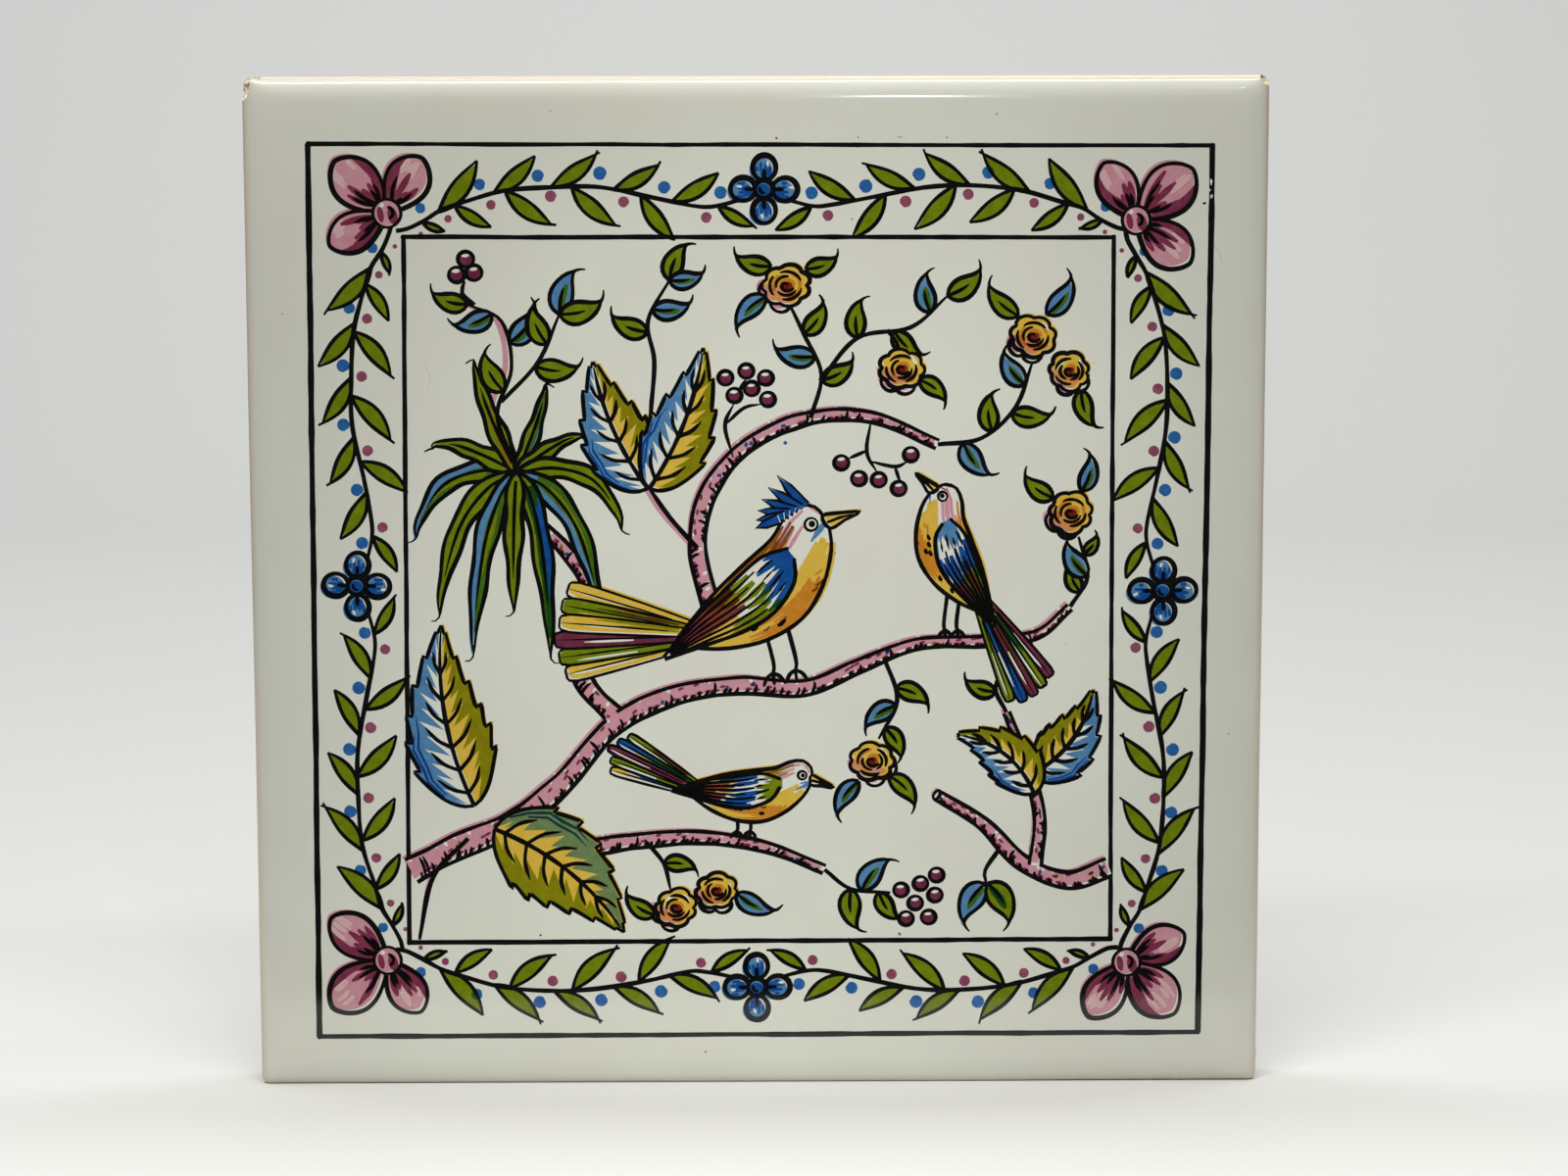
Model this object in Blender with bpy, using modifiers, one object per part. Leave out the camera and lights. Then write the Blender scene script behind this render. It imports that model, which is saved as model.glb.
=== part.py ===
"""A decorated wall tile: one dust-pressed, glazed ceramic piece with a cushion edge and a waffle back.

The tile stands upright. Its face looks to -Y, +Z is up, and the origin is at the centre of the
bedding plane, which is the plane of the raised lands on the back. The printed picture is flat
colour under the glaze, so it is no part of this solid.
"""

import math
import random

import bmesh
import bpy
from mathutils import Matrix, Vector

MM = 0.001

# The pressed blank
SIDE = 152.4 * MM  # the nominal 6 inch square
THICKNESS = 8.0 * MM  # from the face to the back lands
CORNER_RADIUS = 1.1 * MM  # the corners, seen from the front
CORNER_SEGMENTS = 6

# The cushion edge, a quarter of an ellipse that the glaze rolls over
CUSHION_WIDTH = 4.2 * MM
CUSHION_DEPTH = 1.4 * MM
CUSHION_STEPS = 8

# The eased edge round the back
BACK_CHAMFER = 0.5 * MM

# The waffle back: shallow pockets that key into the bedding, with lands between them
POCKETS_PER_ROW = 8
POCKET_PITCH = 17.0 * MM
POCKET_MOUTH = 12.0 * MM
POCKET_FLOOR = 10.8 * MM
POCKET_DEPTH = 0.8 * MM

# Corner chips: centre across, behind the face and up, then the three half sizes, all in mm
LEFT_CHIP = (
    ((-76.35, 1.05, 74.55), (1.65, 1.60, 2.05)),
    ((-75.00, 0.95, 76.40), (1.75, 1.50, 1.25)),
    ((-76.20, 1.10, 76.10), (1.50, 1.70, 1.50)),
)
RIGHT_CHIP = (((76.15, 0.90, 75.95), (1.40, 1.45, 1.60)),)
CHIP_ROUGHNESS = 0.10  # the share of its half size by which the broken surface wanders
CHIP_SEED = 11


def clear_scene():
    for obj in list(bpy.data.objects):
        bpy.data.objects.remove(obj, do_unlink=True)


def collection(name, parent=None):
    made = bpy.data.collections.new(name)
    (parent or bpy.context.scene.collection).children.link(made)
    return made


def material(name, colour, roughness):
    made = bpy.data.materials.new(name)
    made.use_nodes = True
    shader = made.node_tree.nodes["Principled BSDF"]
    shader.inputs["Base Color"].default_value = (*colour, 1.0)
    shader.inputs["Roughness"].default_value = roughness
    made.diffuse_color = (*colour, 1.0)
    return made


def add_object(name, bm, into, finish=None):
    mesh = bpy.data.meshes.new(name)
    bmesh.ops.recalc_face_normals(bm, faces=bm.faces)
    bm.to_mesh(mesh)
    bm.free()
    obj = bpy.data.objects.new(name, mesh)
    into.objects.link(obj)
    if finish:
        mesh.materials.append(finish)
    return obj


def draw_in(bm, rim, inset, back):
    """Grows a band of wall from a closed rim of edges, and returns the new, smaller rim."""
    before = max(vert.co.x for edge in rim for vert in edge.verts)
    grown = bmesh.ops.extrude_edge_only(bm, edges=rim)["geom"]
    verts = [item for item in grown if isinstance(item, bmesh.types.BMVert)]
    scale = (before - inset) / before
    bmesh.ops.scale(bm, vec=(scale, 1.0, scale), verts=verts)
    bmesh.ops.translate(bm, vec=(0.0, back, 0.0), verts=verts)
    moved = set(verts)
    edges = [item for item in grown if isinstance(item, bmesh.types.BMEdge)]
    return [edge for edge in edges if moved.issuperset(edge.verts)]


def tile_blank(into, finish):
    """The pressed plate, grown from its rounded outline towards the face and then towards the back."""
    bm = bmesh.new()
    upright = Matrix.Rotation(math.radians(90.0), 4, "X")
    bmesh.ops.create_grid(bm, x_segments=1, y_segments=1, size=SIDE / 2, matrix=upright)
    bmesh.ops.bevel(
        bm,
        geom=bm.verts[:],
        offset=CORNER_RADIUS,
        offset_type="OFFSET",
        segments=CORNER_SEGMENTS,
        profile=0.5,
        affect="VERTICES",
    )
    bmesh.ops.translate(bm, vec=(0.0, CUSHION_DEPTH - THICKNESS, 0.0), verts=bm.verts)
    bmesh.ops.delete(bm, geom=bm.faces[:], context="FACES_ONLY")
    outline = bm.edges[:]

    rim = outline
    for step in range(1, CUSHION_STEPS + 1):
        last, now = ((step + k) / CUSHION_STEPS * math.pi / 2 for k in (-1, 0))
        inset = CUSHION_WIDTH * (math.cos(last) - math.cos(now))
        rise = CUSHION_DEPTH * (math.sin(now) - math.sin(last))
        rim = draw_in(bm, rim, inset, -rise)
    bmesh.ops.edgeloop_fill(bm, edges=rim)

    wall = THICKNESS - CUSHION_DEPTH - BACK_CHAMFER
    rim = draw_in(bm, outline, 0.0, wall)
    rim = draw_in(bm, rim, BACK_CHAMFER, BACK_CHAMFER)
    bmesh.ops.edgeloop_fill(bm, edges=rim)
    return add_object("tile", bm, into, finish)


def pocket_cutter(into):
    """One tapered pocket, repeated over the back by two Array modifiers."""
    bm = bmesh.new()
    bmesh.ops.create_cube(bm, size=1.0)
    mouth = 0.3 * MM  # the cutter stands out of the back by this much, on the same taper
    slope = (POCKET_MOUTH - POCKET_FLOOR) / POCKET_DEPTH
    for vert in bm.verts:
        outer = vert.co.y > 0
        width = POCKET_MOUTH + slope * mouth if outer else POCKET_FLOOR
        vert.co = Vector((vert.co.x * width, mouth if outer else -POCKET_DEPTH, vert.co.z * width))
    first = -(POCKETS_PER_ROW - 1) / 2 * POCKET_PITCH
    bmesh.ops.translate(bm, vec=(first, 0.0, first), verts=bm.verts)
    obj = add_object("cut_pockets", bm, into)
    for name, way in (("Across", (POCKET_PITCH, 0.0, 0.0)), ("Up", (0.0, 0.0, POCKET_PITCH))):
        array = obj.modifiers.new(name, "ARRAY")
        array.count = POCKETS_PER_ROW
        array.use_relative_offset = False
        array.use_constant_offset = True
        array.constant_offset_displace = way
    return obj


def chip_cutter(name, bite, into, rng):
    """A faceted lump that leaves the scooped, uneven surface of a broken corner."""
    (across, behind, up), half = bite
    bm = bmesh.new()
    bmesh.ops.create_icosphere(bm, subdivisions=2, radius=1.0)
    for vert in bm.verts:
        swell = 1.0 + rng.uniform(-CHIP_ROUGHNESS, CHIP_ROUGHNESS)
        vert.co = Vector(co * size * MM * swell for co, size in zip(vert.co, half))
    centre = Vector((across * MM, behind * MM - THICKNESS, up * MM))
    bmesh.ops.translate(bm, vec=centre, verts=bm.verts)
    return add_object(name, bm, into)


def cut(obj, cutter):
    boolean = obj.modifiers.new(cutter.name, "BOOLEAN")
    boolean.operation = "DIFFERENCE"
    boolean.solver = "EXACT"
    boolean.object = cutter
    cutter.hide_render = True
    cutter.display_type = "WIRE"


def main():
    clear_scene()
    parts = collection("ceramic_tile")
    cutters = collection("ceramic_tile_cutters")
    cutters.hide_render = True
    glaze = material("glazed_earthenware", (0.60, 0.59, 0.51), 0.12)

    tile = tile_blank(parts, glaze)
    cut(tile, pocket_cutter(cutters))
    rng = random.Random(CHIP_SEED)
    for side, bites in (("left", LEFT_CHIP), ("right", RIGHT_CHIP)):
        for number, bite in enumerate(bites, 1):
            cut(tile, chip_cutter(f"cut_{side}_chip_{number}", bite, cutters, rng))


main()
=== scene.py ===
# %% [markdown]
# # A decorated wall tile
#
# A six-inch wall tile is a single piece of earthenware. Fine damp clay is pressed in a steel die, which
# gives it a cushion edge at the front and a waffle of shallow pockets at the back, and it is fired to
# a pale, porous bisque. The picture is printed on the bisque one ink at a time, and a clear glaze is
# melted over face and edge. This lesson builds the tile round the imported solid that fixes its
# size and place. Everything is in metres in that solid's frame, with the face towards -Y.

# %% Load the imported solid
from math import atan2, ceil, cos, degrees, pi, radians, sin

import bmesh
import bpy
import numpy as np
from mathutils import Matrix, Vector, noise
from mathutils.bvhtree import BVHTree
from mathutils.geometry import delaunay_2d_cdt


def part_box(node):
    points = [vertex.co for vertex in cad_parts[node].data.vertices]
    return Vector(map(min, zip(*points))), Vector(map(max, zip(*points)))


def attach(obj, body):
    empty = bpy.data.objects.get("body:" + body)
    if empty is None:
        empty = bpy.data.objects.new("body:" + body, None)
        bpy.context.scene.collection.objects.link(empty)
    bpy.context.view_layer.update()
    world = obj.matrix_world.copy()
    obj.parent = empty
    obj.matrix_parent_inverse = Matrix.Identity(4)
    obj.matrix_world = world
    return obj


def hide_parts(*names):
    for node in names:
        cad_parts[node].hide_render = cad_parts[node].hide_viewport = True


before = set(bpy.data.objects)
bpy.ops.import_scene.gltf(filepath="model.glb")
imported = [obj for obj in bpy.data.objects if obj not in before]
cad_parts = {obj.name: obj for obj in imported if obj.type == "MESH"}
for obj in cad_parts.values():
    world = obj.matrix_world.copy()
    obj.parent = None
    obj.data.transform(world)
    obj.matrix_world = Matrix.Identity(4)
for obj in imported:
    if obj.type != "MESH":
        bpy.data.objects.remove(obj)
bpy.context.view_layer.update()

low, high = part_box("tile")
MM = 0.001
SIDE = (high.x - low.x) / MM
THICKNESS = (high.y - low.y) / MM
print(f"The tile is {SIDE:.1f} mm square and {THICKNESS:.1f} mm thick")

# %% [markdown]
# ## Small helpers
#
# Shaders and Geometry Nodes are both trees of nodes. One function that adds a node, sets its options
# and fills or links its inputs keeps each tree readable. Another gives a Geometry Nodes tree its
# named inputs, so that every size stays a knob that can be turned later.

# %% Nodes, objects and trees with named inputs
def add_node(tree, kind, settings=(), **inputs):
    """Adds one node. Inputs are given by name with _ for a space, or as _0, _1 for a socket's number."""
    node = tree.nodes.new(kind)
    for name, value in dict(settings).items():
        setattr(node, name, value)
    for name, value in inputs.items():
        key = int(name[1:]) if name.startswith("_") else name.replace("_", " ")
        if isinstance(value, bpy.types.NodeSocket):
            tree.links.new(value, node.inputs[key])
        else:
            node.inputs[key].default_value = value
    return node


def math_node(tree, kind, first, second=0.0):
    """One Math node, as its output."""
    return add_node(tree, "ShaderNodeMath", {"operation": kind}, _0=first, _1=second).outputs[0]


def add_object(name, data):
    """A new object in the scene."""
    made = bpy.data.objects.new(name, data)
    bpy.context.scene.collection.objects.link(made)
    return made


def mesh_from(bm, name):
    """A new mesh from a finished bmesh."""
    mesh = bpy.data.meshes.new(name)
    bm.to_mesh(mesh)
    bm.free()
    return mesh


SOCKET_KINDS = {float: "Float", int: "Int", "object": "Object", "material": "Material"}


def geometry_tree(name, inputs):
    """A new Geometry Nodes tree that takes these inputs, each a name and its kind."""
    tree = bpy.data.node_groups.new(name, "GeometryNodeTree")
    tree.interface.new_socket("Geometry", in_out="INPUT", socket_type="NodeSocketGeometry")
    for label, kind in inputs.items():
        tree.interface.new_socket(label, in_out="INPUT", socket_type="NodeSocket" + SOCKET_KINDS[kind])
    tree.interface.new_socket("Geometry", in_out="OUTPUT", socket_type="NodeSocketGeometry")
    given = tree.nodes.new("NodeGroupInput").outputs
    return tree, given


def finish_tree(tree, shape, material):
    """Ends a tree as real mesh with its material."""
    real = add_node(tree, "GeometryNodeRealizeInstances", Geometry=shape)
    dressed = add_node(tree, "GeometryNodeSetMaterial", Geometry=real.outputs[0], Material=material)
    add_node(tree, "NodeGroupOutput", Geometry=dressed.outputs[0])


def grow(name, seed_mesh, tree, values):
    """Runs a tree on a small mesh and returns what it makes as a plain mesh."""
    host = add_object(name, seed_mesh)
    modifier = host.modifiers.new(name, "NODES")
    modifier.node_group = tree
    for item in tree.interface.items_tree:
        if item.name in values and item.in_out == "INPUT":
            modifier[item.identifier] = values[item.name]
    shaped = host.evaluated_get(bpy.context.evaluated_depsgraph_get())
    mesh = bpy.data.meshes.new_from_object(shaped)
    host.modifiers.remove(modifier)
    bpy.data.objects.remove(host)
    mesh.name = name
    return mesh


def linear(code):
    """An opaque colour from its sRGB hex code, as the linear values that Blender works in."""
    parts = np.array([int(code[i : i + 2], 16) / 255 for i in (0, 2, 4)])
    return np.append(np.where(parts <= 0.04045, parts / 12.92, ((parts + 0.055) / 1.055) ** 2.4), 1.0)


print("Helpers ready for nodes, objects, trees and colours")

# %% [markdown]
# ## The pressed blank
#
# Seen from the front the blank is a square with barely eased corners. Towards the face its edge rolls
# over in a quarter of an ellipse, the cushion edge, and the rest of the face is flat. The body is a
# stack of rings with the same number of points, so each band between two rings is plain quads. It
# could be a bevelled box, but rings let the roll be an ellipse and let the edge wander a little, as
# an edge does that was pressed, fettled by hand and glazed.

# %% Rings from the face to the back
CORNER_RADIUS = 1.1  # mm, of the outermost ring
CORNER_STEPS = 8
EDGE_STEPS = 96
CUSHION_WIDTH = 4.2
CUSHION_DEPTH = 1.4
CUSHION_STEPS = 14
BACK_CHAMFER = 0.5
QUARTERS = ((1, 1), (-1, 1), (-1, -1), (1, -1))  # the way to each corner, anticlockwise
FACE = low.y / MM


def ring_points(inset):
    """An eased square, anticlockwise seen from the front, in mm across and up."""
    radius = CORNER_RADIUS + 0.5 * inset
    centre = SIDE / 2 - inset - radius
    points = []
    for quarter in range(4):
        turns = [quarter * pi / 2 + step / CORNER_STEPS * pi / 2 for step in range(CORNER_STEPS + 1)]
        middle = np.array(QUARTERS[quarter]) * centre
        arc = [middle + radius * np.array([cos(a), sin(a)]) for a in turns]
        onward = np.array(QUARTERS[(quarter + 1) % 4]) * centre
        start = onward + radius * np.array([cos(turns[-1]), sin(turns[-1])])
        edge = [arc[-1] + (start - arc[-1]) * k / EDGE_STEPS for k in range(1, EDGE_STEPS)]
        points += arc + edge
    return np.array(points)


def profile():
    """How far in from the outline and how far behind the bedding plane each ring lies, in mm."""
    turns = [step / CUSHION_STEPS * pi / 2 for step in range(CUSHION_STEPS, -1, -1)]
    roll = [(CUSHION_WIDTH * (1 - cos(a)), FACE + CUSHION_DEPTH * (1 - sin(a))) for a in turns]
    wall = [(0.0, y) for y in np.linspace(FACE + CUSHION_DEPTH, -BACK_CHAMFER, 6)[1:]]
    return roll + wall + [(BACK_CHAMFER, 0.0)]


rings = profile()
print(f"{len(rings)} rings of {len(ring_points(0))} points")

# %% The blank, with the wander of a real edge
EDGE_WANDER = 0.16  # mm, always inwards, so that the tile keeps its size
BURR_AT, BURR_HALF = -71.5, 0.7  # mm up, and half its length: a bead of glaze on the right edge


def edge_wander(across, up, inset):
    """How far a point of a ring is drawn in, in mm, fading out where the flat face starts."""
    slow = noise.noise(Vector((across / 31, up / 31, 3.7)))
    quick = noise.noise(Vector((across / 4.5, up / 4.5, 9.1)))
    drawn = EDGE_WANDER * (0.5 + 0.42 * slow + 0.08 * quick)
    if across > SIDE / 2 - 2 and abs(up - BURR_AT) < BURR_HALF:
        drawn *= 0.1
    return drawn * (1 - inset / CUSHION_WIDTH)


def pressed_blank():
    """The closed body, still with one large face at the front and one at the back."""
    bm = bmesh.new()
    loops = []
    for inset, depth in rings:
        loop = []
        for across, up in ring_points(inset):
            drawn = edge_wander(across, up, inset)
            shrink = 1 - drawn / max(abs(across), abs(up))
            loop.append(bm.verts.new((across * shrink * MM, depth * MM, up * shrink * MM)))
        loops.append(loop)
    for outer, inner in zip(loops, loops[1:]):
        for k in range(len(outer)):
            bm.faces.new((outer[k - 1], outer[k], inner[k], inner[k - 1]))
    bm.faces.new(loops[0])
    bm.faces.new(loops[-1])
    bmesh.ops.recalc_face_normals(bm, faces=bm.faces)
    return mesh_from(bm, "blank")


blank = pressed_blank()
print(f"The blank has {len(blank.polygons)} faces")

# %% [markdown]
# ## The waffle back
#
# The back of a pressed tile has shallow pockets that the mortar keys into. They are cast by a pattern
# of raised pads in the die, all alike and evenly spaced, so a Geometry Nodes tree makes them: one pad
# with rounded corners and sloping sides, set on a grid of points. The result is the cutter for one
# Boolean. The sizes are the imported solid's own.

# %% The pocket tree
WELD = 0.000001  # m, within which the points of a pad become one
tree, given = geometry_tree(
    "waffle_pockets",
    {"Per Row": int, "Pitch": float, "Mouth": float, "Floor": float, "Depth": float, "Proud": float,
     "Corner": float, "Material": "material"},
)
across = math_node(tree, "MULTIPLY", math_node(tree, "SUBTRACT", given["Per Row"], 1.0), given["Pitch"])
grid = add_node(
    tree, "GeometryNodeMeshGrid",
    Size_X=across, Size_Y=across, Vertices_X=given["Per Row"], Vertices_Y=given["Per Row"],
)
square = add_node(
    tree, "GeometryNodeCurvePrimitiveQuadrilateral", {"mode": "RECTANGLE"},
    Width=given["Floor"], Height=given["Floor"],
)
eased = add_node(
    tree, "GeometryNodeFilletCurve", {"mode": "POLY"},
    Curve=square.outputs[0], Count=3, Radius=given["Corner"],
)
pad = add_node(tree, "GeometryNodeFillCurve", {"mode": "NGONS"}, Curve=eased.outputs[0])
height = math_node(tree, "ADD", given["Depth"], given["Proud"])
raised = add_node(
    tree, "GeometryNodeExtrudeMesh", {"mode": "FACES"}, Mesh=pad.outputs[0], Offset_Scale=height,
)
flare = math_node(tree, "DIVIDE", given["Mouth"], given["Floor"])
sloped = add_node(
    tree, "GeometryNodeScaleElements", {"domain": "FACE"},
    Geometry=raised.outputs["Mesh"], Selection=raised.outputs["Top"], Scale=flare,
)
under = add_node(tree, "GeometryNodeFlipFaces", Mesh=pad.outputs[0])
block = add_node(tree, "GeometryNodeJoinGeometry")
tree.links.new(sloped.outputs[0], block.inputs[0])
tree.links.new(under.outputs[0], block.inputs[0])
closed = add_node(tree, "GeometryNodeMergeByDistance", Geometry=block.outputs[0], Distance=WELD)
pockets = add_node(
    tree, "GeometryNodeInstanceOnPoints", Points=grid.outputs["Mesh"], Instance=closed.outputs[0],
)
finish_tree(tree, pockets.outputs[0], given["Material"])
print(f"The pocket tree has {len(tree.nodes)} nodes")

# %% [markdown]
# ## Chipped corners
#
# Both top corners have lost a flake of glaze, and the buff body shows. A flake breaks away along a
# scooped, grainy surface, so each bite is a round lump roughened by noise, and a Boolean takes it out
# of the blank. The lumps carry the broken body's own material, which the cut faces inherit.

# %% Cutters for the chips
LEFT_BITES = (
    ((-76.35, 1.05, 74.55), (1.65, 1.60, 2.05)),
    ((-75.00, 0.95, 76.40), (1.75, 1.50, 1.25)),
    ((-76.20, 1.10, 76.10), (1.50, 1.70, 1.50)),
)
RIGHT_BITES = (((76.15, 0.90, 75.95), (1.40, 1.45, 1.60)),)
GRAIN = 0.11  # mm, how far single grains stand out of the break

broken_body = bpy.data.materials.new("broken_buff_earthenware")
bare_bisque = bpy.data.materials.new("bare_pressed_bisque")
clear_glaze = bpy.data.materials.new("clear_gloss_glaze_over_print")


def bite_cutter(name, centre, half):
    """A grainy lump. Its centre is given across, behind the face and up."""
    bm = bmesh.new()
    bmesh.ops.create_icosphere(bm, subdivisions=5, radius=1.0)
    middle = Vector((centre[0], centre[1] + FACE, centre[2]))
    for vert in bm.verts:
        spot = Vector(a * b for a, b in zip(vert.co, half))
        scoop = 0.16 * noise.noise((middle + spot) * 0.9) + 0.07 * noise.noise((middle + spot) * 2.4)
        grain = GRAIN * (noise.noise((middle + spot) * 4.0) + 0.6 * noise.noise((middle + spot) * 9.0))
        vert.co = (middle + spot * (1 + scoop) + vert.co * grain) * MM
    mesh = mesh_from(bm, name)
    mesh.materials.append(broken_body)
    return mesh


cutters = [bite_cutter(f"bite_{n}", *bite) for n, bite in enumerate(LEFT_BITES + RIGHT_BITES)]
pocket_sizes = {"Per Row": 8, "Pitch": 17.0 * MM, "Mouth": 12.4 * MM, "Floor": 10.8 * MM, "Depth": 0.8 * MM,
                "Proud": 0.3 * MM, "Corner": 1.4 * MM, "Material": bare_bisque}
waffle = grow("waffle", bpy.data.meshes.new("start"), tree, pocket_sizes)
waffle.transform(Matrix.Translation((0, -pocket_sizes["Depth"], 0)) @ Matrix.Rotation(-pi / 2, 4, "X"))
cutters.append(waffle)
print(f"{len(cutters)} cutters, the waffle with {len(waffle.polygons)} faces")

# %% The blank, chipped and pocketed
def cut_away(mesh, cutter_meshes):
    """Takes every cutter out of the mesh and keeps the cutters' materials on the cut faces."""
    body = add_object("body", mesh)
    tools = []
    for cutter_mesh in cutter_meshes:
        tool = add_object(cutter_mesh.name, cutter_mesh)
        bite = body.modifiers.new(tool.name, "BOOLEAN")
        bite.object = tool
        bite.operation = "DIFFERENCE"
        bite.solver = "EXACT"
        bite.material_mode = "TRANSFER"
        tools.append(tool)
    made = bpy.data.meshes.new_from_object(body.evaluated_get(bpy.context.evaluated_depsgraph_get()))
    for item in [body, *tools]:
        bpy.data.objects.remove(item)
    return made


blank.materials.append(clear_glaze)
body_mesh = cut_away(blank, cutters)
print(f"The cut body has {len(body_mesh.polygons)} faces in {len(body_mesh.materials)} materials")

# %% [markdown]
# ## How the picture is printed
#
# Such a picture goes on through one stencil for each ink, as flat shapes that don't quite line up. So
# every printed shape here is a mark: an ink's name and a closed ring of points, in mm on the face from
# its centre. Marks are laid in order. Most only add ink; "knock" wipes all inks inside its ring, which
# is how one drawn thing hides what is behind it, and "lift" marks take one ink out, for a highlight
# that the brush left bare. An image texture would be simpler, but it blurs up close.

# %% Inks, their colours and how far each stencil was out of line
GLAZE_CREAM = "CFD2C6"
INKS = {
    "yellow": ("C8A73F", (0.32, 0.38)),
    "orange": ("B3783B", (0.12, 0.10)),
    "pink": ("BB8691", (-0.45, 0.50)),
    "blush": ("C6A4A4", (-0.35, 0.40)),
    "plum": ("61243B", (0.00, 0.12)),
    "dot_plum": ("804259", (0.00, 0.00)),
    "sky": ("49779F", (-0.30, -0.18)),
    "blue": ("0A4384", (-0.10, -0.10)),
    "dot_blue": ("215996", (0.00, 0.00)),
    "green": ("647504", (0.20, -0.15)),
    "rust": ("6B4020", (0.00, 0.00)),
    "key": ("060607", (0.00, 0.00)),
}
SPREAD = 0.20  # mm that a pen line gains as the black ink sinks into the bisque
marks = []
rng = np.random.default_rng(7)


def put(ink, ring):
    marks.append((ink, np.asarray(ring, float)))


def cover(ink, ring):
    """A shape in one ink that hides what is behind it."""
    put("knock", ring)
    put(ink, ring)


# %% Lines and smooth shapes
RAMP = 0.35  # the share of a pen line over which it swells, and thins out again


def along(path):
    """How far along the path each point lies, from 0 to 1, and the whole length."""
    run = np.concatenate([[0.0], np.cumsum(np.linalg.norm(np.diff(path, axis=0), axis=1))])
    return run / run[-1], run[-1]


def smooth(points, step=0.5, closed=False):
    """A smooth line through a few points (Catmull-Rom)."""
    p = np.asarray(points, float)
    p = np.vstack([p[-1], p, p[:2]]) if closed else np.vstack([2 * p[0] - p[1], p, 2 * p[-1] - p[-2]])
    path = []
    for a, b, c, d in zip(p, p[1:], p[2:], p[3:]):
        t = np.linspace(0, 1, max(2, ceil(np.linalg.norm(c - b) / step)), endpoint=False)[:, None]
        path.append(b + 0.5 * t * (c - a + t * (2 * a - 5 * b + 4 * c - d + t * (3 * (b - c) + d - a))))
    return np.vstack(path if closed else path + [p[-2:-1]])


def evenly(path, count):
    """The same path as this many evenly spaced points."""
    share, _ = along(path)
    steps = np.linspace(0, 1, count)
    return np.stack([np.interp(steps, share, path[:, 0]), np.interp(steps, share, path[:, 1])], 1)


def normals(path):
    """The unit vector to the left of the path at each point."""
    way = np.gradient(path, axis=0)
    way /= np.maximum(np.linalg.norm(way, axis=1, keepdims=True), 1e-9)
    return np.stack([-way[:, 1], way[:, 0]], 1)


def wander(path, size, knot=2.5):
    """Slow random unevenness along a path, as a hand-drawn line has."""
    share, length = along(path)
    knots = max(3, ceil(length / knot) + 1)
    return np.interp(share, np.linspace(0, 1, knots), rng.uniform(-size, size, knots))


def line(path, width, ends=(0.35, 0.25), ink="key"):
    """A pen line that swells from one end and thins out at the other."""
    path = np.asarray(path, float)
    share, _ = along(path)
    start = ends[0] + (1 - ends[0]) * np.sin(np.minimum(share / RAMP, 1) * pi / 2)
    finish = ends[1] + (1 - ends[1]) * np.sin(np.minimum((1 - share) / RAMP, 1) * pi / 2)
    wide = width + (SPREAD if ink == "key" else 0.0)
    side = normals(path) * (wide / 2 * start * finish * (1 + wander(path, 0.14)))[:, None]
    put(ink, np.vstack([path + side, (path - side)[::-1]]))


def pen(points, width, ends=(0.35, 0.25), ink="key"):
    """A pen line through a few points."""
    line(smooth(points), width, ends, ink)


def outline(ring, width):
    """A black pen line all round a closed shape."""
    ring = np.vstack([ring, ring[:1]])
    side = normals(np.vstack([ring[-2:-1], ring, ring[1:2]]))[1:-1]
    swell = 1 + 0.18 * np.sin(np.linspace(0, 2 * pi, len(ring)) + rng.uniform(0, 6))
    side *= ((width + SPREAD) / 2 * swell)[:, None]
    put("key", np.vstack([ring + side, (ring - side)[::-1]]))


def facing(angle):
    """The unit vector at this many degrees, and the one to its left."""
    way = np.array([cos(radians(angle)), sin(radians(angle))])
    return way, np.array([-way[1], way[0]])


def round_arc(x, y, reach, angles, flat=1.0):
    """Points at these angles about a centre, in radians, squeezed in height by a share."""
    return np.stack([x + reach * np.cos(angles), y + reach * np.sin(angles) * flat], 1)


def oval(centre, half_long, half_wide, turn=0.0):
    count = max(12, ceil((half_long + half_wide) * 6.5))
    a = np.linspace(0, 2 * pi, count, endpoint=False)
    x, y = half_long * np.cos(a), half_wide * np.sin(a)
    c, s = cos(radians(turn)), sin(radians(turn))
    return np.stack([centre[0] + c * x - s * y, centre[1] + s * x + c * y], 1)


def streaks(top, bottom, ink, count, span, width, r, lanes=(0.0, 1.0)):
    """Brush strokes side by side between two edges. Span is along the edges and lanes across them."""
    steps = 24
    top, bottom = evenly(top, steps), evenly(bottom, steps)
    for k in range(count):
        lane = lanes[0] + (lanes[1] - lanes[0]) * (k + 0.5) / count
        a = max(0, round((span[0] + r.uniform(-0.05, 0.05)) * steps))
        b = min(steps, round((span[1] + r.uniform(-0.12, 0.06)) * steps))
        if b - a > 3:
            path = (top * (1 - lane) + bottom * lane)[a:b:2]
            line(path, width * r.uniform(0.75, 1.2), (0.6, 0.25), ink)


print(f"{len(INKS)} inks, and pens and brushes to print with")

# %% [markdown]
# ## The ruled frame and the leafy border
#
# Two ruled squares hold a border: a wavy stem along each half side, from a corner flower to a small
# flower in the middle, with leaves on both sides of it and dots between them. It is the same half side
# eight times, turned and mirrored. A Geometry Nodes tree sets the stamps, a leaf or a dot, along the
# stem: how many, how far apart, how they lean and how they grow are its inputs. Its polygons then
# become marks like the rest.

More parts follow.
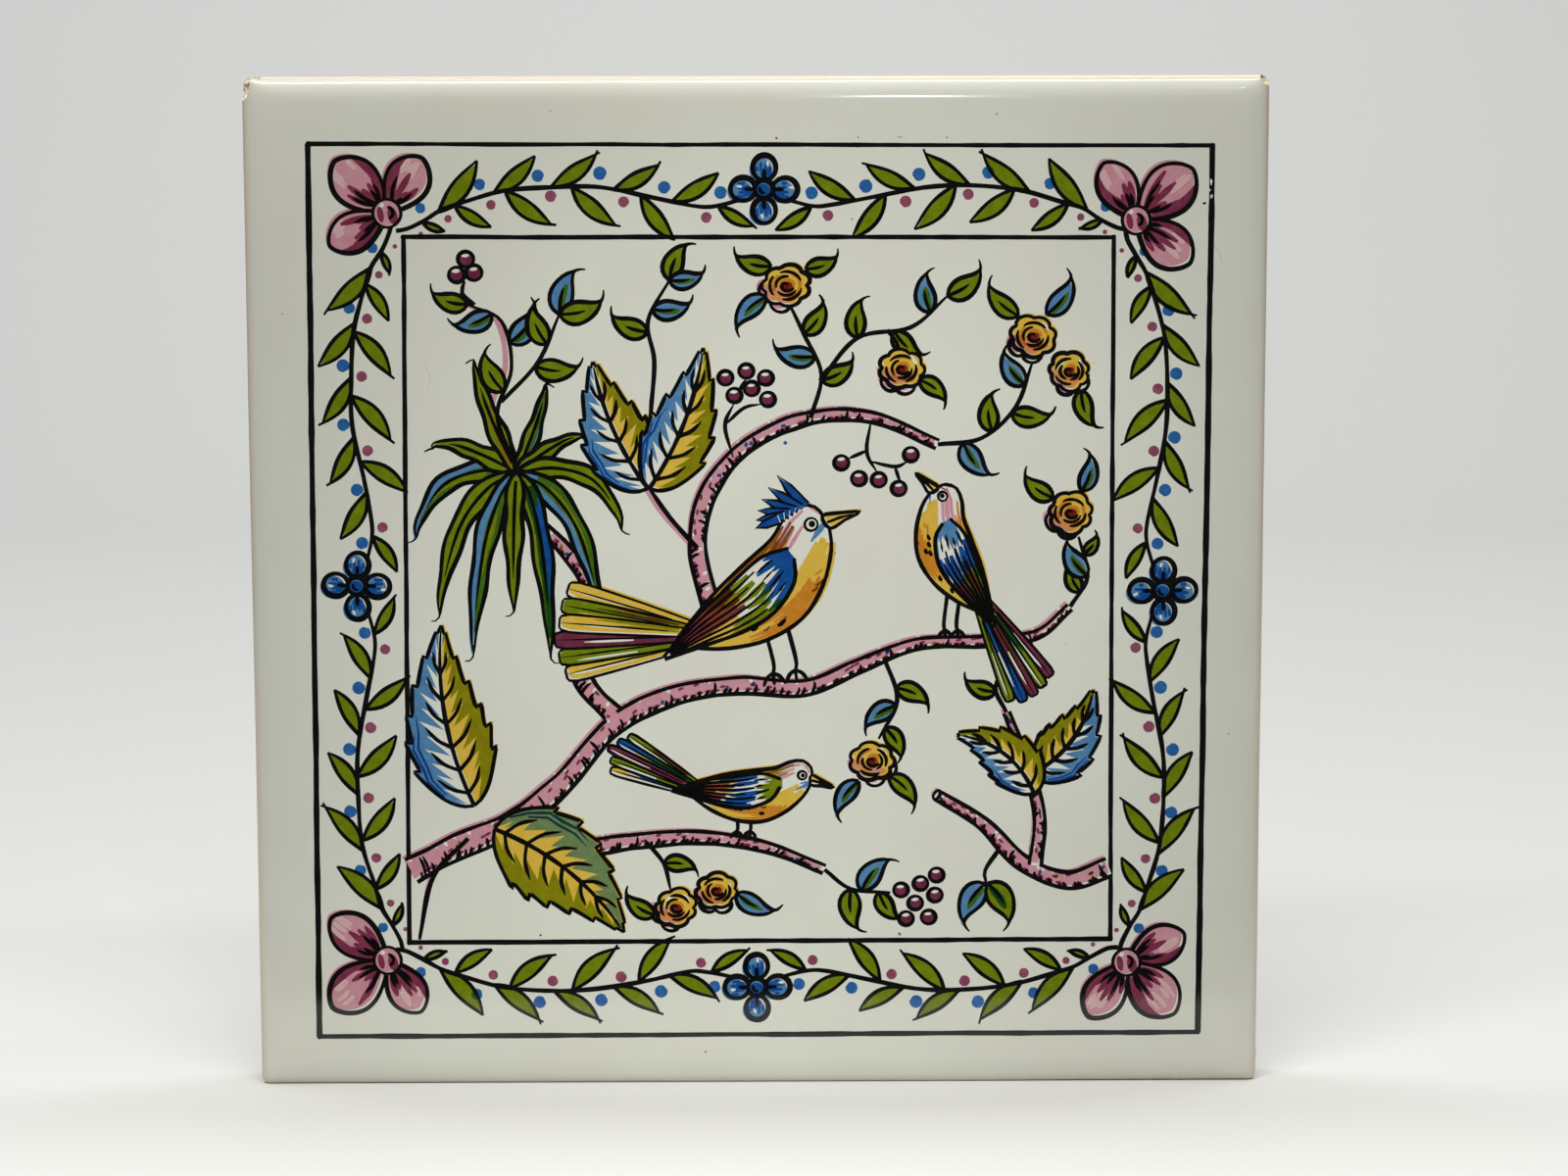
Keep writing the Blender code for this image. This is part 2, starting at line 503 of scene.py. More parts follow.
# %% The ruled frame
OUTER = [(-66.3, 66.2), (67.6, 65.7), (67.0, -68.4), (-67.05, -68.6)]
INNER = [(-52.4, 52.5), (53.05, 52.2), (53.5, -53.9), (-53.15, -54.05)]
OUTER_WIDTHS = (0.46, 0.70, 0.60, 0.70)
INNER_WIDTHS = (0.52, 0.50, 0.56, 0.52)


def ruled(corners, widths):
    """Four ruled lines, not quite even, with a blot of ink where they meet."""
    for a, b, width in zip(corners, corners[1:] + corners[:1], widths):
        a, b = np.array(a), np.array(b)
        path = a + (b - a) * np.linspace(0, 1, 90)[:, None]
        path = path + normals(path) * wander(path, 0.045, 9.0)[:, None]
        line(path, width, (1.0, 1.0))
    for corner in corners:
        put("key", oval(corner, 0.46, 0.40, rng.uniform(0, 90)))


ruled(OUTER, OUTER_WIDTHS)
ruled(INNER, INNER_WIDTHS)
for across, up, half_wide, half_high, turn in (
    (67.5, 60.3, 0.2, 0.5, 10), (67.15, 59.1, 0.3, 0.18, 30), (67.55, 58.2, 0.16, 0.32, -15),
):
    put("lift_key", oval((across, up), half_wide, half_high, turn))
put("key", oval((67.72, 59.6), 0.14, 0.75, 5))
print(f"{len(marks)} marks in the frame")

# %% The tree that sets stamps along a stem
tree, given = geometry_tree(
    "stamps_along_a_stem",
    {"Stamp": "object", "Count": int, "First": float, "Last": float, "Bunching": float, "Hand": float,
     "Away": float, "Lean": float, "Lean Change": float, "Size at Start": float, "Size in Middle": float,
     "Size at End": float, "Unevenness": float, "Seed": int, "Material": "material"},
)


def maths(kind, first, second):
    """One Math node of this tree, as its output."""
    return math_node(tree, kind, first, second)


def jitter(size, salt):
    """A random number for each point, up to this size either way."""
    seed = maths("ADD", given["Seed"], float(salt))
    spread = add_node(tree, "FunctionNodeRandomValue", {"data_type": "FLOAT"}, _2=-1.0, _3=1.0, Seed=seed)
    return maths("MULTIPLY", spread.outputs[1], size)


stem = add_node(tree, "GeometryNodeMeshToCurve", Mesh=given["Geometry"])
dots = add_node(tree, "GeometryNodePoints", Count=given["Count"])
number = add_node(tree, "GeometryNodeInputIndex").outputs[0]
even = maths("DIVIDE", number, maths("SUBTRACT", given["Count"], 1.0))
bunched = maths("POWER", even, given["Bunching"])
reach = maths("MULTIPLY", bunched, maths("SUBTRACT", given["Last"], given["First"]))
place = maths("ADD", reach, given["First"])
place = maths("ADD", place, jitter(maths("MULTIPLY", given["Unevenness"], 0.07), 1))
spot = add_node(tree, "GeometryNodeSampleCurve", {"mode": "FACTOR"}, Curves=stem.outputs[0], Factor=place)
tangent = spot.outputs["Tangent"]
left = add_node(tree, "ShaderNodeVectorMath", {"operation": "CROSS_PRODUCT"}, _0=(0.0, 0.0, 1.0), _1=tangent)
distance = maths("MULTIPLY", maths("ADD", given["Away"], jitter(given["Unevenness"], 2)), given["Hand"])
aside = add_node(tree, "ShaderNodeVectorMath", {"operation": "SCALE"}, _0=left.outputs[0], Scale=distance)
put_there = add_node(
    tree, "GeometryNodeSetPosition",
    Geometry=dots.outputs[0], Position=spot.outputs["Position"], Offset=aside.outputs[0],
)
print(f"{len(tree.nodes)} nodes so far")

# %% Lean and size, and the end of the tree
ahead = add_node(
    tree, "FunctionNodeAlignRotationToVector", {"axis": "X", "pivot_axis": "Z"}, Vector=tangent,
)
lean = maths("ADD", given["Lean"], maths("MULTIPLY", even, given["Lean Change"]))
lean = maths("ADD", lean, jitter(maths("MULTIPLY", given["Unevenness"], 14.0), 3))
lean = maths("MULTIPLY", lean, given["Hand"])
turn = add_node(tree, "ShaderNodeCombineXYZ", Z=math_node(tree, "RADIANS", lean))
turned = add_node(
    tree, "FunctionNodeRotateRotation", {"rotation_space": "LOCAL"}, Rotation=ahead.outputs[0],
    Rotate_By=add_node(tree, "FunctionNodeEulerToRotation", Euler=turn.outputs[0]).outputs[0],
)
back = maths("SUBTRACT", 1.0, even)
size = maths("MULTIPLY", given["Size at Start"], maths("MULTIPLY", back, back))
middling = maths("MULTIPLY", 2.0, maths("MULTIPLY", back, even))
size = maths("ADD", size, maths("MULTIPLY", given["Size in Middle"], middling))
size = maths("ADD", size, maths("MULTIPLY", given["Size at End"], maths("MULTIPLY", even, even)))
size = maths("MULTIPLY", size, maths("ADD", 1.0, jitter(maths("MULTIPLY", given["Unevenness"], 0.25), 4)))
scale = add_node(tree, "ShaderNodeCombineXYZ", X=size, Y=maths("MULTIPLY", size, given["Hand"]), Z=1.0)
stamp = add_node(tree, "GeometryNodeObjectInfo", Object=given["Stamp"])
placed = add_node(
    tree, "GeometryNodeInstanceOnPoints",
    Points=put_there.outputs[0], Instance=stamp.outputs["Geometry"],
    Rotation=turned.outputs[0], Scale=scale.outputs[0],
)
finish_tree(tree, placed.outputs[0], given["Material"])
print(f"The stamp tree has {len(tree.nodes)} nodes")

# %% Leaf and dot stamps
def blade(base, tip, wide, bend, fullest, step):
    """The two edges of a pointed leaf and its middle line. Bend is a share of the length."""
    base, tip = np.asarray(base, float), np.asarray(tip, float)
    way = tip - base
    length = np.linalg.norm(way)
    t = np.linspace(0, 1, max(7, ceil(length / step)))[:, None]
    across = np.array([-way[1], way[0]]) / length
    middle = base + way * t + across * bend * length * 4 * t * (1 - t)
    side = normals(middle) * wide / 2 * np.sin(pi * t**fullest)
    return middle + side, middle - side, middle


LEAF_POINTS = 11
DOT_POINTS = 12


def stamp_object(name, ring):
    """One flat polygon as an object, for a tree to copy."""
    mesh = bpy.data.meshes.new(name)
    mesh.from_pydata([(x, y, 0.0) for x, y in ring], [], [range(len(ring))])
    return bpy.data.objects.new(name, mesh)


left, right, _ = blade((0, 0), (1, 0), 0.27, -0.05, 0.95, 1 / LEAF_POINTS)
leaf_stamp = stamp_object("leaf_stamp", np.vstack([left, right[::-1]]))
dot_stamp = stamp_object("dot_stamp", oval((0, 0), 1.0, 1.0)[:DOT_POINTS])
print(f"A leaf stamp of {len(leaf_stamp.data.vertices)} points")

# %% One half side of the border
STEM = [(0.002, -3.4), (0.033, -3.2), (0.083, -1.95), (0.134, -0.4), (0.20, 0.75), (0.32, 2.4), (0.466, 3.0),
        (0.60, 2.8), (0.755, 1.4), (0.87, 0.2), (0.93, 0.1), (1.0, 1.0)]
OUTER_LEAVES = {"Count": 5, "First": 0.138, "Last": 0.81, "Bunching": 1.0, "Away": 0.0, "Lean": 22.0,
                "Lean Change": 20.0, "Size at Start": 9.4, "Size in Middle": 7.2, "Size at End": 8.0}
INNER_LEAVES = {"Count": 6, "First": 0.085, "Last": 0.935, "Bunching": 1.3, "Away": 0.0, "Lean": -52.0,
                "Lean Change": 12.0, "Size at Start": 3.5, "Size in Middle": 12.5, "Size at End": 6.3}
BLUE_DOTS = {"Count": 6, "First": 0.095, "Last": 0.95, "Bunching": 1.0, "Lean": 0.0,
             "Lean Change": 0.0, "Size at Start": 0.80, "Size in Middle": 1.1, "Size at End": 0.94}
PLUM_DOTS = {"Count": 6, "First": 0.06, "Last": 0.9, "Bunching": 1.4, "Away": -1.45, "Lean": 0.0,
             "Lean Change": 0.0, "Size at Start": 0.36, "Size in Middle": 1.05, "Size at End": 0.80}
print_ink = bpy.data.materials.new("printed_ink")


def stamped(path, stamp, row, hand, seed):
    """The rings of all the stamps that the tree sets along this path."""
    host = bpy.data.meshes.new("stem")
    host.from_pydata([(x, y, 0.0) for x, y in path], [(k, k + 1) for k in range(len(path) - 1)], [])
    values = {**row, "Stamp": stamp, "Hand": hand, "Unevenness": 0.16, "Seed": seed, "Material": print_ink}
    mesh = grow("stamps", host, tree, values)
    corners = np.array([vert.co[:2] for vert in mesh.vertices])
    return [corners[list(face.vertices)] for face in mesh.polygons]


def half_side(start, end, up, away, seed):
    """The stem from a corner flower to the middle flower, with its leaves and dots."""
    start, end, up = np.array(start, float), np.array(end, float), np.array(up, float)
    way = end - start
    hand = 1.0 if way[0] * up[1] - way[1] * up[0] > 0 else -1.0
    path = smooth([start + way * x + up * (y + rng.uniform(-0.12, 0.12)) for x, y in STEM], 0.9)
    for row in (OUTER_LEAVES, INNER_LEAVES):
        for ring in stamped(path, leaf_stamp, row, hand, seed):
            put("green", ring)
            half = len(ring) // 2
            for edge in (ring[:half], ring[half:][::-1]):
                if rng.random() < 0.25:
                    edge = np.vstack([edge, edge[-1] + (edge[-1] - edge[-2]) * 0.8])
                line(edge, 0.37, (1.0, 0.6))
    line(path, 0.52, (1.0, 0.8))
    for ink, row in (("dot_blue", {**BLUE_DOTS, "Away": away}), ("dot_plum", PLUM_DOTS)):
        for ring in stamped(path, dot_stamp, row, hand, seed + 50):
            put(ink, ring)


CORNERS = {"tl": (-54.8, 56.0), "tr": (56.4, 54.75), "bl": (-56.5, -56.8), "br": (56.0, -57.5)}
MIDDLES = {"t": (1.1, 59.45), "b": (-0.3, -61.2), "l": (-60.2, 0.5), "r": (60.95, -0.6)}
STEM_DROP = 2.6  # mm, from a middle flower's centre in to the line that the stem waves about
SIDES = {  # each side's two corners, the way out, and how far its blue dots stand from the stem, in mm
    "t": ("tl", "tr", (0, 1), 1.9),
    "b": ("bl", "br", (0, -1), 1.9),
    "l": ("tl", "bl", (-1, 0), 1.4),
    "r": ("tr", "br", (1, 0), 1.4),
}


def leafy_border():
    for number, (side, (first, second, up, away)) in enumerate(SIDES.items()):
        middle, up = np.array(MIDDLES[side]), np.array(up, float)
        for half, corner in enumerate((first, second)):
            corner = np.array(CORNERS[corner])
            way = (middle - corner) * np.abs(up[::-1])
            way /= np.linalg.norm(way)
            line_at = middle * np.abs(up) - up * STEM_DROP
            start = corner * np.abs(way) + way * 1.2 + line_at
            half_side(start, middle * np.abs(way) - way * 3.9 + line_at, up, away, 10 * number + half)


leafy_border()
print(f"{len(marks)} marks with the leafy border")

# %% The corner flowers
CORNER_PETALS = {  # each petal's angle, length and width
    "tl": ((135, 10.8, 7.0), (57, 9.7, 6.5), (209, 9.8, 5.8)),
    "tr": ((120, 9.7, 5.9), (42, 11.2, 7.4), (322, 10.3, 6.7)),
    "bl": ((142, 10.7, 6.4), (221, 11.2, 7.1), (302, 9.4, 5.8)),
    "br": ((27, 9.8, 6.0), (313, 10.9, 7.3), (236, 10.2, 6.2)),
}


def petal(heart, angle, long, wide, seed):
    """A round petal in pink wash, shaded in plum from its root and along one flank."""
    r = np.random.default_rng(seed)
    heart = np.array(heart, float)
    way, across = facing(angle)
    t = (1 - np.cos(np.linspace(0, pi, 32)))[:, None] / 2
    half = wide / 2 * np.sin(pi * t**1.35) ** 0.62
    middle = heart + way * long * t
    left, right = middle + across * half, middle - across * half
    ring = np.vstack([left, right[::-1][1:-1]])
    cover("pink", ring)
    flank = left if r.random() < 0.5 else right
    depths = ((25, 0.12), (22, 0.3), (15, 0.42), (10, 0.5))
    inward = [flank[k] + (middle[k] - flank[k]) * deep for k, deep in depths]
    put("plum", smooth([flank[7], flank[15], flank[22], flank[25], *inward], 0.5, closed=True))
    for number, side in enumerate((-0.62, -0.3, 0.04, 0.36, 0.66)):
        reach = r.uniform(0.42, 0.72)
        a, b = heart + way * long * 0.14, heart + way * long * reach + across * wide * 0.5 * side
        pen([a, (a + b) / 2 + across * wide * 0.08 * side, b], 0.95, (0.7, 0.4), "plum")
        if number != 2:
            stop = a + (b - a) * r.uniform(0.6, 0.85)
            pen([a, (a + stop) / 2 + across * wide * 0.08 * side, stop], 0.42, (1.0, 0.25))
    for _ in range(4):
        side = r.uniform(-0.6, 0.6)
        a = heart + way * long * r.uniform(0.55, 0.68) + across * wide * side * 0.5
        b = heart + way * long * r.uniform(0.80, 0.92) + across * wide * side * 0.46
        pen([a, (a + b) / 2 + across * 0.1, b], 0.7, (0.3, 0.6), "lift_pink")
        pen([a, (a + b) / 2 + across * 0.1, b], 0.9, (0.3, 0.6), "blush")
    outline(ring, 0.5)


def corner_flower(centre, petals, seed):
    for number, (angle, long, wide) in enumerate(petals):
        petal(centre, angle, long, wide, seed * 10 + number)
    x, y = centre
    put("knock", oval(centre, 2.3, 2.3))
    put("key", oval(centre, 2.35, 2.3))
    put("lift_key", oval(centre, 1.82, 1.86))
    put("pink", oval((x + 0.3, y - 0.35), 1.95, 1.95))
    for dx, dy, long, wide, lean in ((0.85, -0.5, 0.75, 1.3, 15), (-0.95, -0.3, 0.5, 1.2, 10)):
        put("plum", oval((x + dx, y + dy), long, wide, lean))
    put("lift_pink", oval((x - 0.3, y + 0.7), 0.4, 0.3, 30))
    a = np.linspace(radians(-80), radians(95), 10)
    line(np.stack([x + 0.1 + 0.8 * np.cos(a), y + 0.05 + 0.85 * np.sin(a)], 1), 0.4, (0.6, 0.6))


for number, (corner, petals) in enumerate(CORNER_PETALS.items(), 1):
    corner_flower(CORNERS[corner], petals, number)
print(f"{len(marks)} marks with the corner flowers")

# %% The small blue flowers in the middle of each side
def middle_flower(centre, seed):
    """Four round petals, dark at their roots, about a round heart."""
    r = np.random.default_rng(seed)
    centre = np.array(centre)
    apart = np.subtract(INKS["blue"][1], INKS["sky"][1])

    def deep(ring):
        """Deep blue in place of the sky blue, so that the two inks don't add up."""
        put("lift_sky", ring + apart)
        put("blue", ring)

    for quarter in range(4):
        angle = 90 * quarter + r.uniform(-3, 3)
        way, across = facing(angle)
        mid = centre + way * r.uniform(3.05, 3.25)
        ring = oval(mid, 1.87, 1.72, angle)
        put("knock", ring)
        put("sky", ring + (-0.2, -0.15))
        deep(oval(mid - way * 0.7 + across * r.uniform(-0.4, 0.4), 0.8, 0.85, angle))
        for lane in (-0.95, -0.3, 0.4, 1.0):
            root = mid - way * 0.4 + across * lane
            tip = root + way * r.uniform(0.7, 1.5)
            pen([root, (root + tip) / 2, tip], 0.5, (1.0, 0.5), "blue")
            put("lift_sky", marks[-1][1] + apart)
        glint = mid + way * r.uniform(0.5, 1.0) + across * r.uniform(-0.6, 0.7)
        for ink in ("lift_sky", "lift_blue"):
            put(ink, oval(glint - np.array(INKS[ink[5:]][1]), 0.42, 0.2, angle + r.uniform(-30, 30)))
        outline(ring, 0.6)
        pen([centre + way * 1.4, mid - way * 0.9, mid - way * 0.2], 0.42, (1.0, 0.6))
    ring = oval(centre, 1.4, 1.35)
    cover("sky", ring)
    deep(oval(centre - (0.1, 0.15), 1.15, 1.0, 20))
    outline(ring, 0.6)
    a = np.linspace(radians(150), radians(290), 7)
    line(round_arc(*centre, 0.6, a), 0.32, (0.6, 0.6))


for number, centre in enumerate(MIDDLES.values()):
    middle_flower(centre, 20 + number)
print(f"{len(marks)} marks in the whole border")

# %% [markdown]
# ## Things to draw the picture with
#
# The panel inside the border holds birds on branches, with sprays of leaves, small roses and berries,
# a common subject on such tiles. It is drawn here as a tile painter would draw one: each kind of leaf,
# flower or bird is a function that knows its outline, how its inks are brushed in and where the pen
# goes, and the picture is a list of where they stand. The inks overlap in streaks, not in smooth
# gradients, because each stencil is cut from a brush drawing.

# %% Small leaves and long strap leaves
def leaf(base, tip, wide, curl=1.0, ink="green", shade=None):
    """A plump leaf with a curled tip. Curl is the side it curls to; shade is brushed along its rib."""
    base, tip = np.asarray(base, float), np.asarray(tip, float)
    way = tip - base
    length = np.linalg.norm(way)
    across = np.array([-way[1], way[0]]) / length * curl
    spine = [base, base + way * 0.35 - across * length * 0.07, base + way * 0.72 - across * length * 0.05,
             base + way * 0.95 + across * length * 0.07, base + way * 1.02 + across * length * 0.24]
    middle = smooth(spine, length / 9)
    share, _ = along(middle)
    half = wide / 2 * np.sin(pi * np.minimum(share / 0.80, 1.0) ** 0.72)
    side = normals(middle) * half[:, None]
    body = share < 0.86
    left, right = (middle + side)[body], (middle - side)[body]
    ring = np.vstack([left, right[::-1]])
    cover(ink, ring)
    if shade:
        line(middle[1 : int(len(middle) * 0.62)], wide * 0.34, (0.6, 0.3), shade)
    line(np.vstack([left, middle[~body]]), 0.47, (0.8, 0.35))
    line(right, 0.45, (0.8, 0.5))
    line(middle[: int(len(middle) * 0.5)], 0.34, (0.9, 0.3))


def strap(points, wide, inks, seed):
    """A long wavy leaf that narrows to a curled point, one half of it often in a second ink."""
    r = np.random.default_rng(seed)
    middle = smooth(points, 0.8)
    share, _ = along(middle)
    half = wide / 2 * np.sin(pi * np.minimum(share / 0.93, 1.0) ** 0.6) ** 0.8
    half *= 1 + 0.14 * np.sin(share * 19 + r.uniform(0, 6))
    side = normals(middle) * half[:, None]
    left, right = middle + side, middle - side
    body = share < 0.95
    ring = np.vstack([left[body], right[body][::-1]])
    cover(inks[0], ring)
    if len(inks) > 1:
        part = (share > 0.08) & (share < 0.85)
        split = middle * 0.6 + right * 0.4
        put(inks[1], np.vstack([left[part], split[part][::-1]]))
        streaks(left[part], middle[part], "lift_" + inks[0], 3, (0.1, 0.7), 0.42, r, (0.35, 1.0))
    line(np.vstack([left[body], middle[~body]]), 0.48, (0.9, 0.3))
    line(right[body], 0.46, (0.9, 0.4))
    line(middle[2 : int(len(middle) * 0.72)], 0.34, (0.8, 0.2))


print("leaf and strap ready")

# %% Big toothed leaves
def comb(edge, middle, shallow, deep, pitch, r):
    """A brushed area from a leaf's edge in to a row of tongues, as shares of the way to the edge."""
    share, length = along(middle)
    count = max(4, int(length / pitch)) * 2
    ring = list(edge)
    for k in range(count, -1, -1):
        t = k / count
        f = (shallow if k % 2 else deep) + r.uniform(-0.08, 0.08)
        slant = max(0.0, t - (0.10 if k % 2 else 0.0))
        m = np.array([np.interp(slant, share, middle[:, i]) for i in (0, 1)])
        e = np.array([np.interp(t, share, edge[:, i]) for i in (0, 1)])
        ring.append(m + (e - m) * f)
    return np.array(ring)


def toothed_edge(edge, middle, teeth):
    """The edge of a blade pushed out into forward-pointing teeth."""
    share = np.linspace(0, 1, len(middle))
    forward = np.gradient(middle, axis=0)
    forward /= np.linalg.norm(forward, axis=1, keepdims=True)
    saw = ((share * teeth + 0.25) % 1.0) ** 1.5
    grow_out = np.where((share > 0.12) & (share < 0.95), saw, 0.0)[:, None]
    return middle + (edge - middle) * (0.92 + 0.17 * grow_out) + forward * 0.7 * grow_out


def toothed_leaf(base, tip, wide, bend, teeth, inks, unders, seed):
    """A big leaf: on each side of its rib a brushed ink over a lighter one, then veins and a pen edge."""
    r = np.random.default_rng(seed)
    left, right, middle = blade(base, tip, wide, bend, 0.62, 0.4)
    count = len(middle)
    edges = [toothed_edge(edge, middle, teeth) for edge in (left, right)]
    put("knock", np.vstack([edges[0], edges[1][::-1]]))
    for hand, edge, ink, under in zip((1, -1), edges, inks, unders):
        if under:
            put(under, np.vstack([edge, middle[::-1]]))
        pitch = wide * 0.12 + 0.5
        put(ink, comb(edge, middle, 0.24 if under else 0.10, 0.6, pitch, r))
        if ink == "sky":
            streaks(edge, middle, "blue", 2, (0.12, 0.55), 0.4, r, (0.06, 0.3))
        for k in range(1, teeth):
            a = int((k - 0.45) / teeth * count * 0.92)
            b = min(count - 2, int((k + 0.5) / teeth * count * 0.92))
            start, end = middle[a], middle[b] + (edge[b] - middle[b]) * r.uniform(0.52, 0.70)
            bow = normals(np.vstack([start, end]))[0] * 0.09 * hand * np.linalg.norm(end - start)
            pen([start, (start + end) / 2 + bow, end], 0.40, (1.0, 0.25))
        line(edge, 0.44, (0.9, 0.8))
    line(middle[:-2], 0.5, (1.0, 0.4))


print("toothed_leaf ready")

# %% Branches and twigs
TICK = 1.05  # mm between two ticks of bark


def branch(points, wide_from, wide_to, seed, cut_end=False):
    """A limb: a streaky pink wash, plum on its under side, pen edges and ticks of bark."""
    r = np.random.default_rng(seed)
    middle = smooth(points, 0.8)
    share, length = along(middle)
    half = (wide_from + (wide_to - wide_from) * share) / 2 * (1 + wander(middle, 0.10, 4.0))
    side = normals(middle)
    left, right = middle + side * half[:, None], middle - side * half[:, None]
    ring = np.vstack([left, right[::-1]])
    cover("pink", ring)
    last = len(middle) - 1
    for k in range(int(length / TICK)):
        at = min(last - 1, max(1, int((k + r.uniform(0.2, 0.8)) * TICK / length * last)))
        lower, upper = (right[at], left[at]) if side[at, 1] > 0 else (left[at], right[at])
        over = upper - lower
        lean = (middle[at + 1] - middle[at - 1]) * r.uniform(0.2, 0.6)
        heading = degrees(atan2(lean[1], lean[0]))
        if r.random() < 0.7:
            put("plum", oval(lower + over * r.uniform(0.14, 0.26) + lean, 0.55, 0.28, heading))
        if r.random() < 0.45:
            put("lift_pink", oval(lower + over * r.uniform(0.6, 0.85), 0.26, 0.42, heading + 20))
        if r.random() < 0.3:
            put("plum", oval(lower + over * r.uniform(0.4, 0.8), 0.5, 0.22, heading + 8))
        if r.random() < 0.12:
            fleck = r.choice(["blue", "green"])
            put(fleck, oval(lower + over * r.uniform(0.3, 0.7), 0.4, 0.26, r.uniform(0, 90)))
        end = lower + over * r.choice([0.3, 0.42, 0.6, 0.85], p=[0.3, 0.4, 0.2, 0.1]) + lean
        pen([lower, (lower + end) / 2 + lean * 0.35, end], r.uniform(0.24, 0.34), (1.0, 0.3))
    line(left, 0.42, (1.0, 0.9))
    line(right, 0.46, (1.0, 0.9))
    if cut_end:
        way = middle[-1] - middle[-2]
        end = oval(middle[-1], wide_to * 0.3, wide_to * 0.5, degrees(atan2(way[1], way[0])))
        cover("blush", end)
        outline(end, 0.34)


def fork(at, heading, wide):
    """Opens the pen line across the mouth of a side limb, so that the two limbs run together."""
    put("lift_key", oval(at, 0.75, wide / 2 - 0.2, heading))
    put("pink", oval(at, 0.8, wide / 2 - 0.1, heading))


def twig(points, leaves=(), width=0.48, blush=False):
    """A twig with leaves on it: each is its share along, side, length and inks."""
    path = smooth(points, 1.0)
    share, _ = along(path)
    if blush:
        line(path + normals(path) * 0.45, 0.85, (0.9, 0.5), "pink")
    line(path, width, (1.0, 0.55))
    for s, side, long, *inks in leaves:
        k = min(max(int(np.searchsorted(share, s)), 1), len(path) - 1)
        ahead = path[k] - path[k - 1]
        ahead /= np.linalg.norm(ahead)
        aside = np.array([-ahead[1], ahead[0]]) * side
        lean = radians(54 + rng.uniform(-8, 8)) if 0 < s < 1 else radians(6)
        tip = path[k] + (ahead * cos(lean) + aside * sin(lean)) * long
        leaf(path[k], tip, long * 0.46, -side, *inks)


print("branch, fork and twig ready")

# %% Roses and berries
def berry(centre, radius=1.12):
    ring = oval(centre, radius, radius * 0.95)
    cover("plum", ring)
    shine = (centre[0] - radius * 0.1, centre[1] + radius * 0.45)
    put("lift_plum", oval(shine, radius * 0.55, radius * 0.32))
    outline(ring, 0.38)


ROSE_PETALS = (  # where each petal's edge starts, how far out it lies and its sweep, in degrees and radii
    (20, 0.66, 95), (140, 0.70, 80), (255, 0.66, 95), (75, 0.44, 120), (215, 0.46, 120),
)


def rose(centre, radius, turn, seed):
    """A small full rose: an uneven scalloped rim, curved petals round a dark curled heart, a pink lobe."""
    r = np.random.default_rng(seed)
    x, y = centre
    lobes = 7
    a = np.linspace(0, 2 * pi, lobes * 7, endpoint=False)
    dents = np.abs(np.sin((a + radians(turn) + 0.16 * np.sin(2 * a)) * lobes / 2)) ** 0.7
    rim_at = radius * (0.84 + 0.16 * dents) * (1 + 0.05 * np.sin(2 * a + seed))
    rim = round_arc(x, y, rim_at, a, 0.94)
    for k in range(2):
        angle = radians(turn + 200 + 52 * k)
        outside = (x + radius * 0.86 * cos(angle), y + radius * 0.82 * sin(angle))
        lobe = oval(outside, radius * 0.42, radius * 0.34, degrees(angle) + 90)
        cover("pink", lobe)
        put("plum", oval(lobe.mean(0), radius * 0.2, radius * 0.08, degrees(angle) + 80))
        outline(lobe, 0.40)
    cover("yellow", rim)
    low_side = (a > pi * 1.0) & (a < pi * 1.8)
    put("pink", np.vstack([rim[low_side], [(x + radius * 0.1, y - radius * 0.15)]]))
    for k in range(7):
        angle = r.uniform(0, 2 * pi)
        spot = (x + radius * 0.55 * cos(angle), y + radius * 0.5 * sin(angle))
        fleck = r.choice(["orange", "lift_yellow", "orange"])
        put(fleck, oval(spot, radius * 0.24, radius * 0.08, degrees(angle) + 90))
    outline(rim, 0.42)
    for turned, reach, sweep in ROSE_PETALS:
        b = np.linspace(radians(turn + turned), radians(turn + turned + sweep), 8)
        line(round_arc(x, y, radius * reach, b, 0.9), 0.34, (0.5, 0.4))
    heart = oval((x, y), radius * 0.36, radius * 0.30, turn)
    put("orange", heart)
    put("plum", oval((x + radius * 0.06, y - radius * 0.04), radius * 0.22, radius * 0.17, turn))
    t = np.linspace(0, 1.9 * pi, 16)
    curl_at = radius * 0.05 * t + 0.12
    line(round_arc(x, y, curl_at, t, 0.85), 0.34, (0.6, 0.7))


print("rose and berry ready")

# %% Birds
BACK = [(10.2, 3.9), (9.9, 5.0), (8.7, 5.75), (7.0, 5.35), (5.2, 4.3),
        (2.5, 3.6), (-1.0, 2.6), (-4.3, 1.3), (-6.0, 0.5)]
BELLY = [(10.2, 2.9), (9.4, 1.0), (7.3, -1.4), (4.4, -3.1),
         (0.8, -3.35), (-2.6, -2.4), (-5.0, -1.1), (-6.0, -0.5)]
WING_TOP = [(6.2, 2.9), (3.6, 3.3), (-0.4, 2.3), (-4.0, 1.3), (-8.0, -0.4)]
WING_LOW = [(6.2, 1.9), (5.2, 0.0), (2.4, -1.5), (-0.8, -1.7), (-4.2, -1.2), (-8.0, -0.6)]
BILL = [(10.1, 4.0), (11.6, 3.5), (13.2, 2.75), (11.7, 2.75), (10.2, 2.7)]
FEATHER_TOP = ((0, 0.4), (0.5, 0.8), (0.93, 1.0), (1.0, 0.5))  # how far along, and the half width there
FEATHER_LOW = ((0, 0.4), (0.5, 0.8), (0.93, 0.9), (1.0, 0.4))


